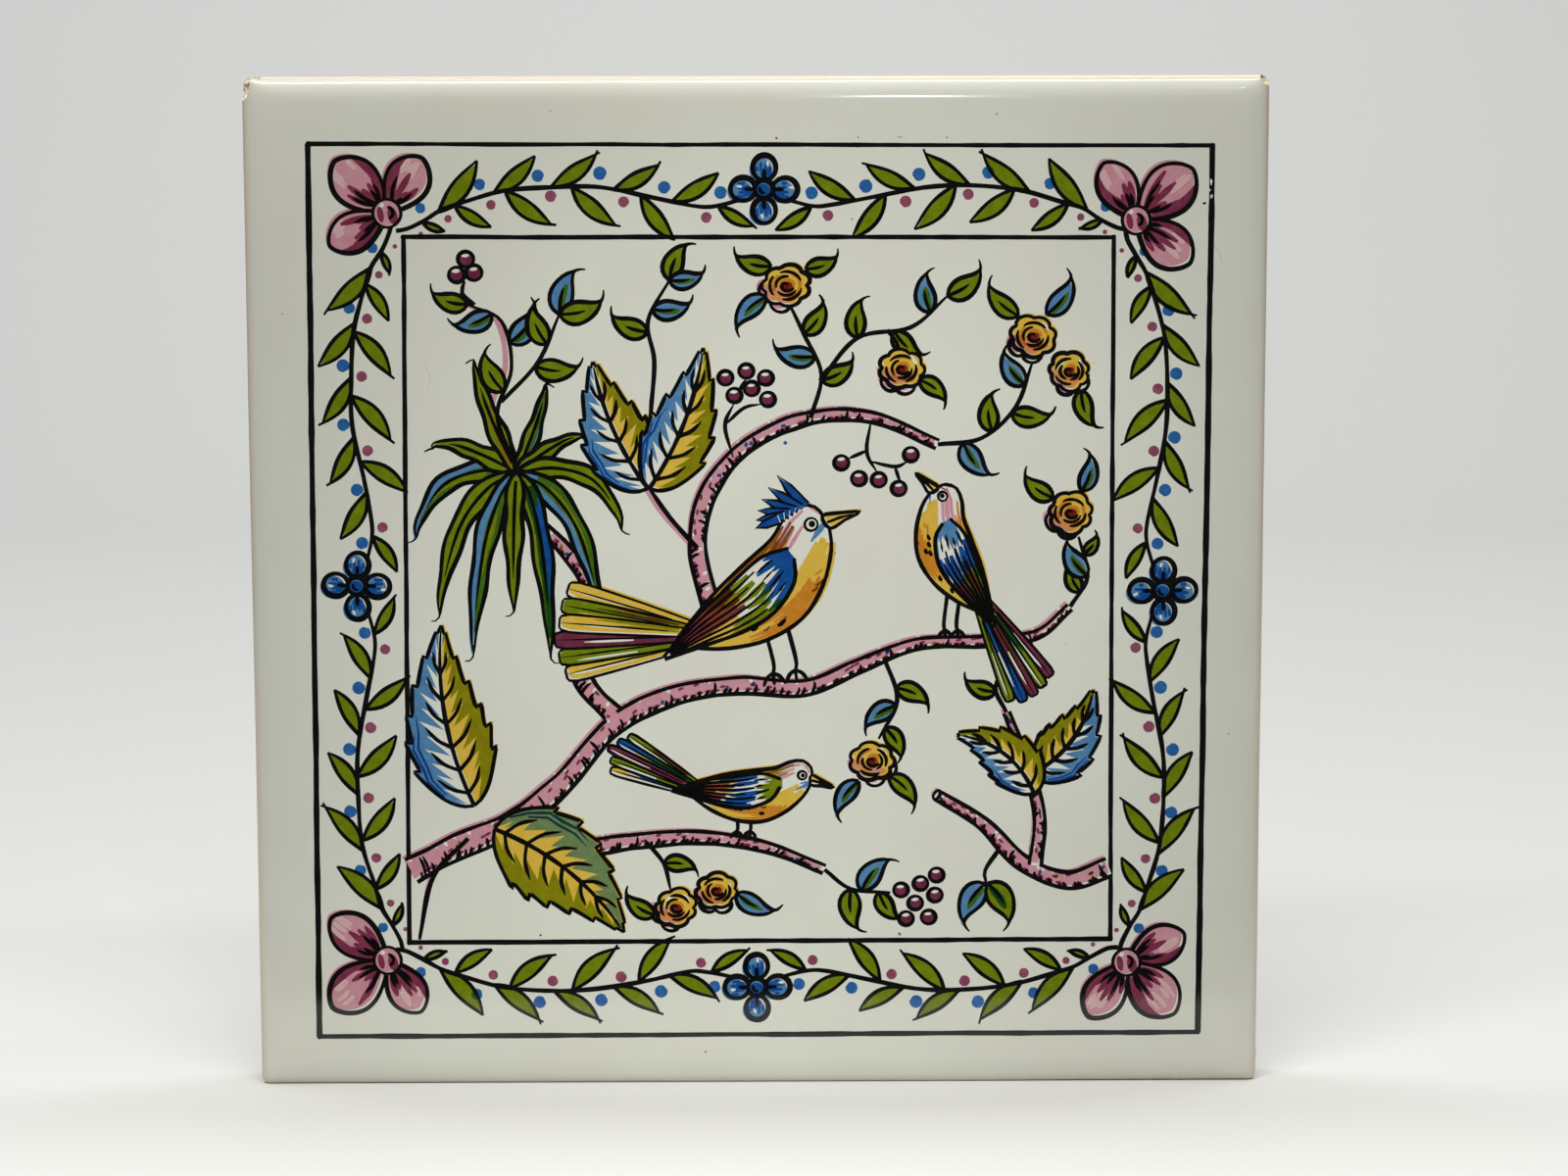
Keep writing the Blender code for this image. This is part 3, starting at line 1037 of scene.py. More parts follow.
def placed(points, at, turn, size, flip):
    """Points of a drawing, sized, mirrored if asked, turned and set in place."""
    p = np.asarray(points, float) * size
    if flip:
        p[..., 0] *= -1
        turn = -turn
    c, s = cos(radians(turn)), sin(radians(turn))
    return np.stack([at[0] + c * p[..., 0] - s * p[..., 1], at[1] + s * p[..., 0] + c * p[..., 1]], -1)


def bird_tail(here, r, turn, long, spread, inks):
    """Long feathers that fan out from the rump, the outer ones underneath."""
    count = len(inks)
    fan = np.linspace(-0.5, 0.5, count)
    half = long * radians(spread) / (count - 1) * 0.62
    for k in sorted(range(count), key=lambda k: -abs(fan[k])):
        way, across = facing(180 + turn + spread * fan[k])
        root = np.array([-4.6, 0.0]) + across * 1.5 * fan[k]
        reach = long * (1 - 0.16 * abs(fan[k]) + r.uniform(-0.03, 0.03))
        upper = [root + way * reach * t + across * half * w for t, w in FEATHER_TOP]
        lower = [root + way * reach * t - across * half * w for t, w in FEATHER_LOW]
        top, bottom = here(smooth(upper, 1.2)), here(smooth(lower, 1.2))
        ring = np.vstack([top, bottom[::-1]])
        cover(inks[k], ring)
        other = inks[(k + 2) % count]
        streaks(top, bottom, other, 2, (0.15, 0.75), 0.4, r, (0.5, 1.0))
        streaks(top, bottom, "lift_" + inks[k], 1, (0.45, 0.95), 0.35, r, (0.1, 0.5))
        line(np.vstack([top, bottom[::-1]]), 0.22, (0.7, 0.7))
        line((top + bottom)[2:-1] / 2, 0.08, (0.6, 0.3))


def bird_body(here, size, r, coat):
    """Head, breast and back: bare glaze in the middle, warm strokes along the belly and the back."""
    back, belly = here(smooth(BACK, 1.0)), here(smooth(BELLY, 1.0))
    ring = np.vstack([back, belly[::-1]])
    put("knock", ring)
    warm = coat["body"]
    streaks(back, belly, warm, 6, (0.14, 0.97), 1.0 * size, r, (0.60, 1.0))
    streaks(back, belly, warm, 3, (0.30, 0.97), 0.8 * size, r, (0.0, 0.22))
    streaks(back, belly, coat["flank"], 4, (0.30, 0.72), 0.42 * size, r, (0.74, 0.98))
    streaks(back, belly, "pink", 3, (0.16, 0.5), 0.5 * size, r, (0.12, 0.4))
    streaks(back, belly, coat["back"], 3, (0.26, 0.85), 0.4 * size, r, (0.02, 0.2))
    streaks(back, belly, coat["cap"], 4, (0.02, 0.2), 0.5 * size, r, (0.0, 0.32))
    streaks(back, belly, "sky", 4, (0.05, 0.17), 0.5 * size, r, (0.50, 0.95))
    for _ in range(15):
        x = r.uniform(-3.2, 8.2)
        y = -2.7 + 0.052 * (x - 2.2) ** 2 + r.uniform(0, 1.6)
        ink = r.choice(["orange", "rust", "key"], p=[0.3, 0.2, 0.5])
        pen(here([(x - 0.35, y - 0.05), (x, y - 0.10), (x + 0.4, y + 0.05)]), 0.36, (0.5, 0.4), ink)
    line(back, 0.42, (0.8, 0.9))
    line(belly, 0.46, (0.8, 0.9))


def bird_wing(here, size, r, inks):
    """A folded wing, shoulder first: each ink runs into the next in streaks, then the quills."""
    top, low_edge = here(smooth(WING_TOP, 1.0)), here(smooth(WING_LOW, 1.0))
    put("knock", np.vstack([top, low_edge[::-1]]))
    spans = ((0.0, 0.34), (0.26, 0.62), (0.45, 0.95), (0.55, 0.98))
    lanes = ((0.0, 1.0), (0.0, 1.0), (0.0, 0.6), (0.55, 1.0))
    for ink, span, lane in zip(inks, spans, lanes):
        streaks(top, low_edge, ink, 6, span, 0.72 * size, r, lane)
    streaks(top, low_edge, inks[3], 4, (0.4, 0.8), 0.4 * size, r, (0.1, 0.5))
    tops, lows = evenly(top, 24), evenly(low_edge, 24)
    for k in range(1, 7):
        lane = k / 7
        path = (tops * (1 - lane) + lows * lane)[8 - k % 2 * 2 : 23]
        line(path, 0.22, (0.6, 0.5))
    for k in range(4):
        lane = 0.2 + 0.2 * k
        path = (tops * (1 - lane) + lows * lane)[3 + k % 2 : 7]
        line(path, 0.18, (0.4, 0.4))
    line(top, 0.40, (0.9, 0.9))
    line(low_edge, 0.44, (0.9, 0.9))


def bird_head(here, crest):
    """The bill, the ringed eye and, on one bird, a crest of stiff feathers."""
    bill = here(smooth(BILL, 0.6, closed=True))
    cover("yellow", bill)
    outline(bill, 0.38)
    line(here([(10.2, 3.3), (11.4, 3.15), (12.6, 2.85)]), 0.30, (0.8, 0.4))
    eye = here(oval((8.9, 3.8), 0.58, 0.56))
    put("knock", eye)
    outline(eye, 0.20)
    put("key", here(oval((8.98, 3.8), 0.30, 0.30)))
    if crest:
        for k in range(6):
            way, across = facing(104 + 14 * k)
            foot = np.array([9.2 - 0.5 * k, 5.45 + 0.02 * k])
            top = foot + way * (3.6 - 0.28 * k)
            side = across * 0.42
            waist = foot + (top - foot) * 0.6
            spike = here([foot + side, waist + side * 0.8, top, waist - side * 0.8, foot - side])
            cover("blue", spike)
            line(spike, 0.20, (0.8, 0.8))


def bird_feet(at, turn, size, flip=False, spread=2.2):
    """Two thin legs with toes that grip the perch."""
    for x in (0, spread):
        leg = placed([(x - 0.2, 3.0), (x + 0.3, -1.2), (x + 0.1, -2.4)], at, turn, size, flip)
        pen(leg, 0.46, (1.0, 0.9))
        for toe in (-0.9, 0.0, 0.9):
            tip = [(x + 0.1, -2.3), (x + 0.1 + toe * 0.7, -2.7), (x + 0.1 + toe * 1.2, -3.5)]
            pen(placed(tip, at, turn, size, flip), 0.42, (0.9, 0.5))


def bird(at, turn, size, coat, tail, seed, flip=False, crest=False):
    """A songbird of plain proportions, its bill to the right before it is mirrored or turned."""
    r = np.random.default_rng(seed)

    def here(points):
        return placed(points, at, turn, size, flip)

    bird_tail(here, r, *tail, coat["tail"])
    bird_body(here, size, r, coat)
    bird_wing(here, size, r, coat["wing"])
    bird_head(here, crest)


print("bird ready")

# %% [markdown]
# ## The picture in the panel
#
# Now the things are set out, from the back to the front: the limbs first, then what grows on them,
# and the birds last, because each knocks out what it covers. Three birds of the same plain kind differ
# in size, turn and coat. All places are mm on the face, from its centre.

# %% Limbs
branch([(-7, -3), (-9, 6), (-7.5, 14), (-2, 21), (7, 25.3), (17, 25.6), (27, 21.5)], 2.7, 1.3, 6)
branch([(-21, -20), (-26.3, -14), (-28, -6), (-25.4, 0), (-29, 6), (-34, 11), (-36, 17)], 2.8, 1.5, 3)
branch([(-37, -35.4), (-29, -39.5), (-19, -38.6), (-9, -38), (1, -39.5), (10, -43)], 2.7, 1.2, 4)
branch([(53.2, -42.8), (47, -44.8), (40, -42), (34, -36), (27, -31.6)], 2.8, 1.5, 7, True)
branch([(42, -42.5), (42.6, -35), (40.6, -27), (37.5, -19)], 1.9, 1.0, 8)
branch(
    [(-52.7, -43), (-46, -39.5), (-38, -36), (-30, -30), (-22, -21), (-13, -16.4), (-3, -14.8), (7, -15.2),
     (15, -12.0), (24, -8.6), (34, -8.2), (42, -7.2), (47, -3)],
    3.7, 1.1, 2,
)
for at, heading, wide in (((-22.1, -19.4), -48, 2.4), ((-34.8, -35.9), 60, 2.3), ((42.0, -41.4), 85, 1.5)):
    fork(at, heading, wide)
print(f"{len(marks)} marks with the limbs")

# %% The strap-leaved plant
HEART = np.array([-36.0, 17.5])
STRAPS = (  # heading, length, droop and width, and the inks of the two halves
    (176, 15.0, 11, 3.0, "sky", "green"), (152, 14.0, 3, 2.8, "green"), (116, 14.0, -4, 2.6, "green"),
    (66, 11.0, -3, 2.2, "sky", "green"), (36, 12.0, 2, 2.4, "green"), (8, 15.5, 11, 2.9, "green"),
    (206, 13.0, 16, 3.0, "green"), (334, 13.5, 17, 3.1, "sky", "green"),
    (232, 11.0, 19, 3.1, "sky", "green"), (304, 8.5, 21, 2.9, "green", "blue"), (264, 7.0, 14, 2.7, "green"),
)
for number, (heading, long, droop, wide, *inks) in enumerate(STRAPS):
    way = facing(heading)[0] * long
    fall = np.array([0.0, -droop])
    hook = np.array([np.sign(way[0]) * 1.2 + 0.01, -0.6])
    points = [HEART, HEART + way * 0.38 + fall * 0.02, HEART + way * 0.74 + fall * 0.25,
              HEART + way * 0.98 + fall * 0.75, HEART + way * 1.02 + fall, HEART + way * 1.02 + fall + hook]
    strap(points, wide, inks, number)
print(f"{len(marks)} marks with the strap leaves")

# %% Sprays at the top left
twig([(-36, 18), (-38.8, 26), (-36.6, 33), (-38, 40), (-43, 42.5)],
     [(0.42, 1, 7.0, "green"), (0.66, -1, 7.2, "sky", "green"), (0.84, 1, 6.4, "sky", "green"),
      (1.0, 1, 6.0, "green")],
     width=0.46, blush=True)
twig([(-38.2, 28), (-32.6, 34), (-29.4, 41)],
     [(0.45, -1, 7.0, "green"), (0.66, 1, 6.6, "green"), (1.0, 1, 7.4, "sky", "green"),
      (0.99, -1, 7.2, "green")])
twig([(-42, 42.4), (-43.8, 44.2), (-43.4, 46)])
for place in ((-42.0, 47.2), (-44.6, 46.9), (-43.2, 49.2)):
    berry(place, 1.2)
twig([(-9, 6), (-13, 10.5), (-16.5, 15.5)], width=0.55, blush=True)
twig([(-16.4, 16), (-15.9, 26), (-15.3, 34), (-16.2, 40), (-13, 46)],
     [(0.70, 1, 6.4, "green"), (0.81, -1, 6.2, "sky", "green"), (1.0, 1, 6.4, "green"),
      (0.985, -1, 5.6, "sky", "green")])
toothed_leaf((-16.4, 15), (-24.5, 34), 10.5, 0.06, 6, ("sky", "green"), (None, "yellow"), 41)
toothed_leaf((-16.2, 15), (-8, 36), 10.0, -0.06, 6, ("sky", "green"), (None, "yellow"), 42)
print(f"{len(marks)} marks with the sprays at the top left")

# %% Sprays along the top and down the right
twig([(8, 25.5), (9.6, 32), (7, 38), (4.6, 43)],
     [(0.3, -1, 6.0, "green"), (0.5, 1, 6.6, "sky", "green"), (0.68, -1, 6.0, "green")])
rose((4.4, 45.2), 3.5, 0, 1)
leaf((2.2, 48.0), (-3.6, 49.6), 2.7, -1, "green")
leaf((7.2, 47.6), (12.4, 49.4), 2.6, 1, "green")
leaf((1.4, 43.6), (-3.6, 38.8), 2.9, 1, "sky", "green")
twig([(9.4, 31), (15, 37.4), (23, 39), (28.4, 43.6)],
     [(0.34, 1, 6.2, "green"), (0.58, -1, 6.0, "green"), (0.82, 1, 6.4, "sky", "green"),
      (1.0, -1, 6.8, "green")])
twig([(19.4, 38.6), (20.8, 36.8), (21.2, 35.6)])
rose((21.6, 32.8), 3.3, 30, 2)
leaf((24.2, 31.2), (28.6, 27.8), 2.5, -1, "green")
twig([(27, 21.5), (33.5, 22.4), (38.6, 27), (41.2, 34)],
     [(0.18, -1, 6.8, "sky", "green"), (0.38, 1, 6.2, "green"), (0.56, -1, 6.4, "green"),
      (0.78, 1, 6.4, "sky", "green")])
rose((41.2, 37.6), 3.4, 15, 3)
rose((46.6, 32.4), 3.1, 60, 4)
leaf((43.2, 40.8), (47.4, 46.6), 3.0, 1, "sky", "green")
leaf((39.0, 40.6), (34.0, 45.4), 2.8, -1, "green")
leaf((48.4, 29.6), (50.4, 23.6), 2.7, 1, "green")
twig([(47, -3), (49.6, 1.6), (48.2, 7.6)],
     [(0.22, 1, 5.0, "green"), (0.42, 1, 6.6, "sky", "green"), (0.75, -1, 3.8, "green")])
rose((47.0, 11.2), 3.4, 10, 5)
leaf((44.4, 13.4), (39.6, 17.0), 2.7, -1, "green")
leaf((48.6, 14.4), (50.2, 20.4), 2.6, 1, "sky", "green")
print(f"{len(marks)} marks with the sprays at the top and right")

# %% Berries
def cluster(stalks, places):
    """Stalks first, then the berries over their ends."""
    for points in stalks:
        pen(points, 0.38)
    for place in places:
        berry(place)


cluster(
    [[(-3.6, 19.6), (-4.8, 24.4), (-3.4, 27.8)], [(-4.7, 24.6), (-2, 27.0), (0.6, 27.6)],
     [(-3.4, 28), (-2.4, 30), (-1.6, 31.4)]],
    [(-3.4, 28.9), (-0.8, 29.9), (1.6, 28.3), (-1.6, 32.5), (-4.7, 31.5), (1.3, 31.5)],
)
cluster(
    [[(17, 25), (16.4, 20.4), (18, 17.2)], [(16.4, 20.6), (13.6, 19.4)],
     [(16.8, 19), (20.6, 18.2), (22.6, 19)], [(20.6, 18.2), (21.4, 15.8)]],
    [(18.2, 16.2), (12.6, 18.8), (23.0, 20.0), (21.2, 14.9), (15.2, 16.4)],
)
print(f"{len(marks)} marks with the berries")

# %% The lower half
toothed_leaf((41.4, -28.5), (50.6, -15.6), 8.6, -0.12, 6, ("green", "sky"), ("yellow", None), 44)
toothed_leaf((41.8, -31.5), (30.0, -22.4), 8.0, -0.14, 6, ("sky", "green"), (None, "yellow"), 45)
twig([(37.5, -19), (35.8, -15.2), (37.8, -12)],
     [(0.4, 1, 5.4, "green"), (1.0, -1, 5.6, "sky", "green"), (0.9, 1, 5, "green")])
toothed_leaf((-43, -33), (-47.6, -5.5), 12.5, 0.07, 7, ("sky", "green"), (None, "yellow"), 46)
toothed_leaf((-40, -36.6), (-20.5, -52.6), 14.0, 0.08, 7, ("sky", "green"), ("yellow", "yellow"), 47)
twig([(-44, -38), (-49.4, -44), (-51.6, -53.6)], width=0.55, blush=True)
twig([(19, -10.6), (21, -17), (18.2, -23)],
     [(0.3, 1, 6.0, "green"), (0.52, -1, 6.2, "sky", "green"), (0.8, 1, 5.6, "green")])
rose((17.2, -26.4), 3.3, 80, 8)
leaf((15.2, -29.4), (11.4, -34.8), 2.7, 1, "sky", "green")
leaf((19.8, -28.6), (24.2, -33.4), 2.7, -1, "green")
twig([(-17, -38.7), (-14.4, -42), (-13.4, -46)], [(0.5, 1, 5.4, "green")])
rose((-12.6, -48.8), 3.2, 0, 6)
rose((-6.4, -46.2), 3.1, 40, 7)
leaf((-3.4, -46.6), (2.8, -49.8), 2.9, 1, "sky", "green")
leaf((-15.8, -50.0), (-20.6, -46.6), 2.6, -1, "green")
twig([(10, -43), (14, -46), (20, -46.6)],
     [(0.4, -1, 6.8, "green"), (0.55, 1, 7.0, "sky", "green"), (0.8, -1, 5.6, "green")])
cluster(
    [],
    [(21.6, -46.2), (23.8, -48.2), (24.6, -45.2), (26.8, -47.0), (27.0, -43.9), (22.4, -50.6),
     (25.8, -50.4)],
)
twig([(36.5, -40), (34.4, -43.2), (34.6, -45.3)])
leaf((34.4, -45.2), (30.6, -51.6), 3.6, 1, "sky", "green")
leaf((34.8, -45.2), (38.6, -51.6), 3.8, -1, "green", "blue")
print(f"{len(marks)} marks with the lower half")

# %% The birds
CRESTED_COAT = {
    "body": "yellow", "flank": "orange", "back": "rust", "cap": "pink",
    "wing": ("blue", "green", "plum", "yellow"),
    "tail": ("yellow", "green", "yellow", "plum", "green", "yellow"),
}
UPRIGHT_COAT = {
    "body": "yellow", "flank": "orange", "back": "orange", "cap": "plum",
    "wing": ("sky", "blue", "green", "plum"),
    "tail": ("plum", "green", "plum", "blue", "green"),
}
SMALL_COAT = {
    "body": "yellow", "flank": "orange", "back": "green", "cap": "pink",
    "wing": ("green", "blue", "yellow", "plum"),
    "tail": ("green", "blue", "plum", "green", "yellow"),
}
bird_feet((1.6, -9.4), 8, 1.55)
bird((-2.4, -3.4), 28, 1.72, CRESTED_COAT, (-30, 12.5, 30), 51, crest=True)
bird_feet((30.2, -4.2), 0, 1.0, flip=True, spread=1.9)
bird((30.4, 2.2), 54, 1.22, UPRIGHT_COAT, (6, 13.5, 20), 52, flip=True)
bird_feet((-3.4, -35.0), 0, 0.9)
bird((-4, -31.4), -8, 1.14, SMALL_COAT, (-18, 13.0, 18), 53)
print(f"{len(marks)} marks with the birds")

# %% Specks that the print and the glaze picked up
SPECKS = (  # ink, across, up, size
    ("yellow", -27.6, -47.2, 0.42), ("dot_blue", 4.2, 21.8, 0.3), ("key", -17.5, -18.5, 0.12),
    ("rust", 11.6, 5.2, 0.13), ("rust", 50.2, 33.6, 0.12), ("key", 14.2, 55.0, 0.14),
    ("green", 16.4, 60.8, 0.22), ("key", -33.2, -53.0, 0.16), ("dot_plum", 21.4, -53.0, 0.28),
    ("rust", -70.6, 41.2, 0.13), ("key", 66.5, 57.2, 0.26), ("rust", 35.6, 70.4, 0.14),
    ("rust", -8.2, -71.2, 0.16), ("rust", 71.1, -22.4, 0.12), ("key", 28.8, -53.8, 0.3),
    ("rust", 3.0, 66.9, 0.18), ("rust", -30.4, 71.0, 0.11), ("key", 46.4, -8.6, 0.10),
    ("key", 15.1, 67.0, 0.12), ("key", 21.0, 67.05, 0.09), ("key", 21.4, 67.0, 0.11),
    ("key", 28.2, 66.95, 0.12),
)
SCRATCHES = (
    [(68.4, 50.6), (69.2, 49.4), (69.6, 48.0)], [(-49.6, 33.6), (-48.4, 31.4), (-48.8, 29.6)],
    [(36.2, 26.0), (37.6, 24.4), (38.0, 22.6)],
)
for ink, across, up, radius in SPECKS:
    put(ink, oval((across, up), radius, radius * rng.uniform(0.7, 1.0), rng.uniform(0, 180)))
for scratch in SCRATCHES:
    pen(scratch, 0.09, ink="blush")
print(f"{len(marks)} marks in all, with {sum(len(ring) for _, ring in marks)} points")

# %% [markdown]
# ## From marks to one flat mesh
#
# Shapes laid on top of each other at the same height would flicker, and raised ones would be wrong,
# because a printed picture is flat. So the flat face is cut up along the edges of all the marks at
# once, by a constrained triangulation. Each small triangle then lies wholly inside or outside each
# mark, and its inks follow from the marks in their order. A second cut keeps only the edges where
# the inks change, so that hidden marks cost nothing.

# %% Fewer points where a ring is nearly straight
SLACK = 0.012  # mm, how far a simplified ring may leave the drawn one


def thinned(ring):
    """The ring without the points that its neighbours already explain (Douglas and Peucker)."""
    ring = ring[np.linalg.norm(ring - np.roll(ring, 1, 0), axis=1) > 0.004]
    if len(ring) < 6:
        return ring
    far = int(np.argmax(np.linalg.norm(ring - ring[0], axis=1)))
    keep = {0, far}
    closed = np.vstack([ring, ring[:1]])
    spans = [(0, far), (far, len(ring))]
    while spans:
        a, b = spans.pop()
        if b - a < 2:
            continue
        way = closed[b] - closed[a]
        off = closed[a + 1 : b] - closed[a]
        gap = np.abs(way[0] * off[:, 1] - way[1] * off[:, 0]) / max(np.hypot(*way), 1e-9)
        worst = int(np.argmax(gap))
        if gap[worst] > SLACK:
            keep.add(a + 1 + worst)
            spans += [(a, a + 1 + worst), (a + 1 + worst, b)]
    return ring[sorted(keep)]


def in_register(ink, ring):
    """The ring where its ink's stencil really put it."""
    ink = ink.replace("lift_", "")
    shift = INKS[ink][1] if ink in INKS else (0.0, 0.0)
    return ring + np.array(shift)


printed = [(ink, thinned(in_register(ink, ring))) for ink, ring in marks]
printed = [(ink, ring) for ink, ring in printed if len(ring) > 2]
print(f"{sum(len(ring) for _, ring in printed)} points left")

# %% Cut the face along every mark
FIRST_NEARNESS = 0.001  # mm, within which two points become one
SECOND_NEARNESS = 0.004
front = max(body_mesh.polygons, key=lambda face: face.area)
rim = np.array([body_mesh.vertices[k].co for k in front.vertices])[:, (0, 2)] / MM


def cut_up(points, edges, nearness):
    """Triangles of the whole flat face, cut along these edges. The rim's points come first."""
    count = len(rim)
    round_rim = [(k, (k + 1) % count) for k in range(count)]
    everything = [Vector(point) for point in np.vstack([rim, points])]
    shifted = (np.asarray(edges) + count).tolist()
    made = delaunay_2d_cdt(everything, round_rim + shifted, [], 1, nearness, True)
    return np.array(made[0]), np.array(made[2]), made[3]


def inside(ring, spots):
    """Which spots the ring winds round."""
    turns = np.zeros(len(spots), int)
    for (ax, ay), (bx, by) in zip(ring, np.roll(ring, -1, 0)):
        side = (bx - ax) * (spots[:, 1] - ay) - (by - ay) * (spots[:, 0] - ax)
        turns += (ay <= spots[:, 1]) & (by > spots[:, 1]) & (side > 0)
        turns -= (by <= spots[:, 1]) & (ay > spots[:, 1]) & (side < 0)
    return turns != 0


def inks_at(spots):
    """For each spot, which inks lie there once all marks are laid in their order."""
    wet = np.zeros((len(spots), len(INKS)), bool)
    column = {ink: k for k, ink in enumerate(INKS)}
    order = np.argsort(spots[:, 0])
    sorted_across = spots[order, 0]
    for ink, ring in printed:
        (left, bottom), (right, top) = ring.min(0), ring.max(0)
        near = order[np.searchsorted(sorted_across, left) : np.searchsorted(sorted_across, right)]
        near = near[(spots[near, 1] >= bottom) & (spots[near, 1] <= top)]
        hit = near[inside(ring, spots[near])]
        if ink == "knock":
            wet[hit] = False
        else:
            wet[hit, column[ink.replace("lift_", "")]] = not ink.startswith("lift_")
    return wet


points = np.vstack([ring for _, ring in printed])
starts = np.cumsum([0] + [len(ring) for _, ring in printed])
edges = [(a + k, a + (k + 1) % (b - a)) for a, b in zip(starts, starts[1:]) for k in range(b - a)]
flat, faces, _ = cut_up(points, edges, FIRST_NEARNESS)
wet = inks_at(flat[faces].mean(1))
print(f"The first cut has {len(faces)} triangles")

# %% Cut it again, only where the inks change
codes = wet @ (1 << np.arange(len(INKS)))
sides = np.sort(np.vstack([faces[:, (0, 1)], faces[:, (1, 2)], faces[:, (2, 0)]]), axis=1)
owner_codes = np.tile(codes, 3)
order = np.lexsort((sides[:, 1], sides[:, 0]))
pairs = (sides[order][1:] == sides[order][:-1]).all(1)
changes = pairs & (owner_codes[order][1:] != owner_codes[order][:-1])
borders = sides[order][1:][changes]
used = np.unique(borders)
renumbered = np.searchsorted(used, borders)
fine, fine_faces, fine_origins = cut_up(flat[used], renumbered, SECOND_NEARNESS)

centres = fine[fine_faces].mean(1)
on_face = inside(rim, centres)
fine_faces, centres = fine_faces[on_face], centres[on_face]
lookup = BVHTree.FromPolygons([(x, y, 0.0) for x, y in flat], faces.tolist())
owner = np.array([lookup.find_nearest((x, y, 0.0))[2] for x, y in centres])
face_codes = codes[owner]
corners = fine[fine_faces]
spread = np.cross(corners[:, 1] - corners[:, 0], corners[:, 2] - corners[:, 0]) / 2
print(f"{len(fine_faces)} triangles cover {spread.sum():.0f} of {front.area / MM**2:.0f} square mm")

# %% [markdown]
# ## From inks to colours
#
# An ink is a thin film of coloured glass over a pale body, so it filters the light that comes back from
# the body. A spot's colour is the glaze's cream times what each ink on it lets through. Two coloured
# inks that overlap don't add up fully, because the upper one sinks into the lower one as they melt.
# What the inks let through goes onto the mesh as an attribute of its face corners, named "print".

# %% What each mix of inks lets through
OVERLAP = 0.72  # the strength that is left to each of two coloured inks that overlap
CREAM = linear(GLAZE_CREAM)[:3]
FILMS = np.array([np.minimum(linear(code)[:3] / CREAM, 1.0) for code, _ in INKS.values()])


def let_through(code):
    """The share of each colour that comes back through the inks of one code."""
    wet_inks = [k for k in range(len(INKS)) if code >> k & 1]
    coloured = [k for k in wet_inks if k != len(INKS) - 1]
    strength = OVERLAP if len(coloured) > 1 else 1.0
    film = np.ones(3)
    for k in wet_inks:
        film = film * FILMS[k] ** (strength if k in coloured else 1.0)
    return film


mixes, mix_of_face = np.unique(face_codes, return_inverse=True)
films = np.array([let_through(int(code)) for code in mixes])[mix_of_face]
print(f"{len(mixes)} different mixes of inks")

# %% Set the printed face into the body
TILE_MATERIALS = (clear_glaze, broken_body, bare_bisque)
GLAZED, BARE = 0, 2  # the slots of the first and the last of them


def tile_mesh():
    """The body with its one large front face replaced by the printed triangles."""
    number = np.full(len(fine), -1)
    for k, parents in enumerate(fine_origins):
        for parent in parents:
            if parent < len(rim):
                number[k] = front.vertices[parent]
    fresh = np.unique(fine_faces)
    fresh = fresh[number[fresh] < 0]
    number[fresh] = len(body_mesh.vertices) + np.arange(len(fresh))
    spots = [vert.co[:] for vert in body_mesh.vertices]
    spots += [(x * MM, low.y, y * MM) for x, y in fine[fresh]]
    others = [face for face in body_mesh.polygons if face.index != front.index]
    faces_of_body = [tuple(face.vertices) for face in others]
    mesh = bpy.data.meshes.new("decorated_tile")
    mesh.from_pydata(spots, [], faces_of_body + number[fine_faces].tolist())
    for material in TILE_MATERIALS:
        mesh.materials.append(material)
    names = [material.name for material in body_mesh.materials]
    slot_of = [mesh.materials.find(name) for name in names]
    slots = [slot_of[face.material_index] for face in others] + [GLAZED] * len(fine_faces)
    mesh.polygons.foreach_set("material_index", slots)
    ink = mesh.attributes.new("print", "FLOAT_COLOR", "CORNER")
    shades = np.ones((len(mesh.loops), 4), np.float32)
    shades[len(mesh.loops) - 3 * len(films) :, :3] = np.repeat(films, 3, axis=0)
    ink.data.foreach_set("color", shades.ravel())
    return mesh


tile_shape = tile_mesh()
bm = bmesh.new()
bm.from_mesh(tile_shape)
loose = [edge for edge in bm.edges if len(edge.link_faces) != 2]
print(f"{len(bm.faces)} faces, {len(loose)} open edges, {bm.calc_volume() * 1e6:.2f} cubic cm")
bm.free()

# %% Bare back, sharp arrises and smooth roll
ARRIS_ANGLE = 38  # degrees, past which an edge stays sharp
for face in tile_shape.polygons:
    if face.material_index == GLAZED and face.normal.y > 0.5:
        face.material_index = BARE
tile_shape.shade_smooth()
tile_shape.set_sharp_from_angle(angle=radians(ARRIS_ANGLE))
bare = sum(face.material_index == BARE for face in tile_shape.polygons)
print(f"{bare} faces of bare back")

# %% [markdown]
# ## A map for baking
#
# The map OFBake lays every face out in one square image, into which the whole look can be baked. The
# face and its roll lie flat in most of the square, so that the print stays crisp. The four walls are
# strips above it and to its right, and the plain back gets the corner that is left.

# %% Lay the faces out
MARGIN = 0.005
FACE_SHARE = 0.84
BACK_SHARE = 0.132
FIRST_STRIP = 0.857
STRIP_PITCH = 0.047


def column(items, name, width):
    """One property of all items of a mesh, as an array."""
    values = np.empty(len(items) * width, np.float32)
    items.foreach_get(name, values)
    return values.reshape(-1, width)


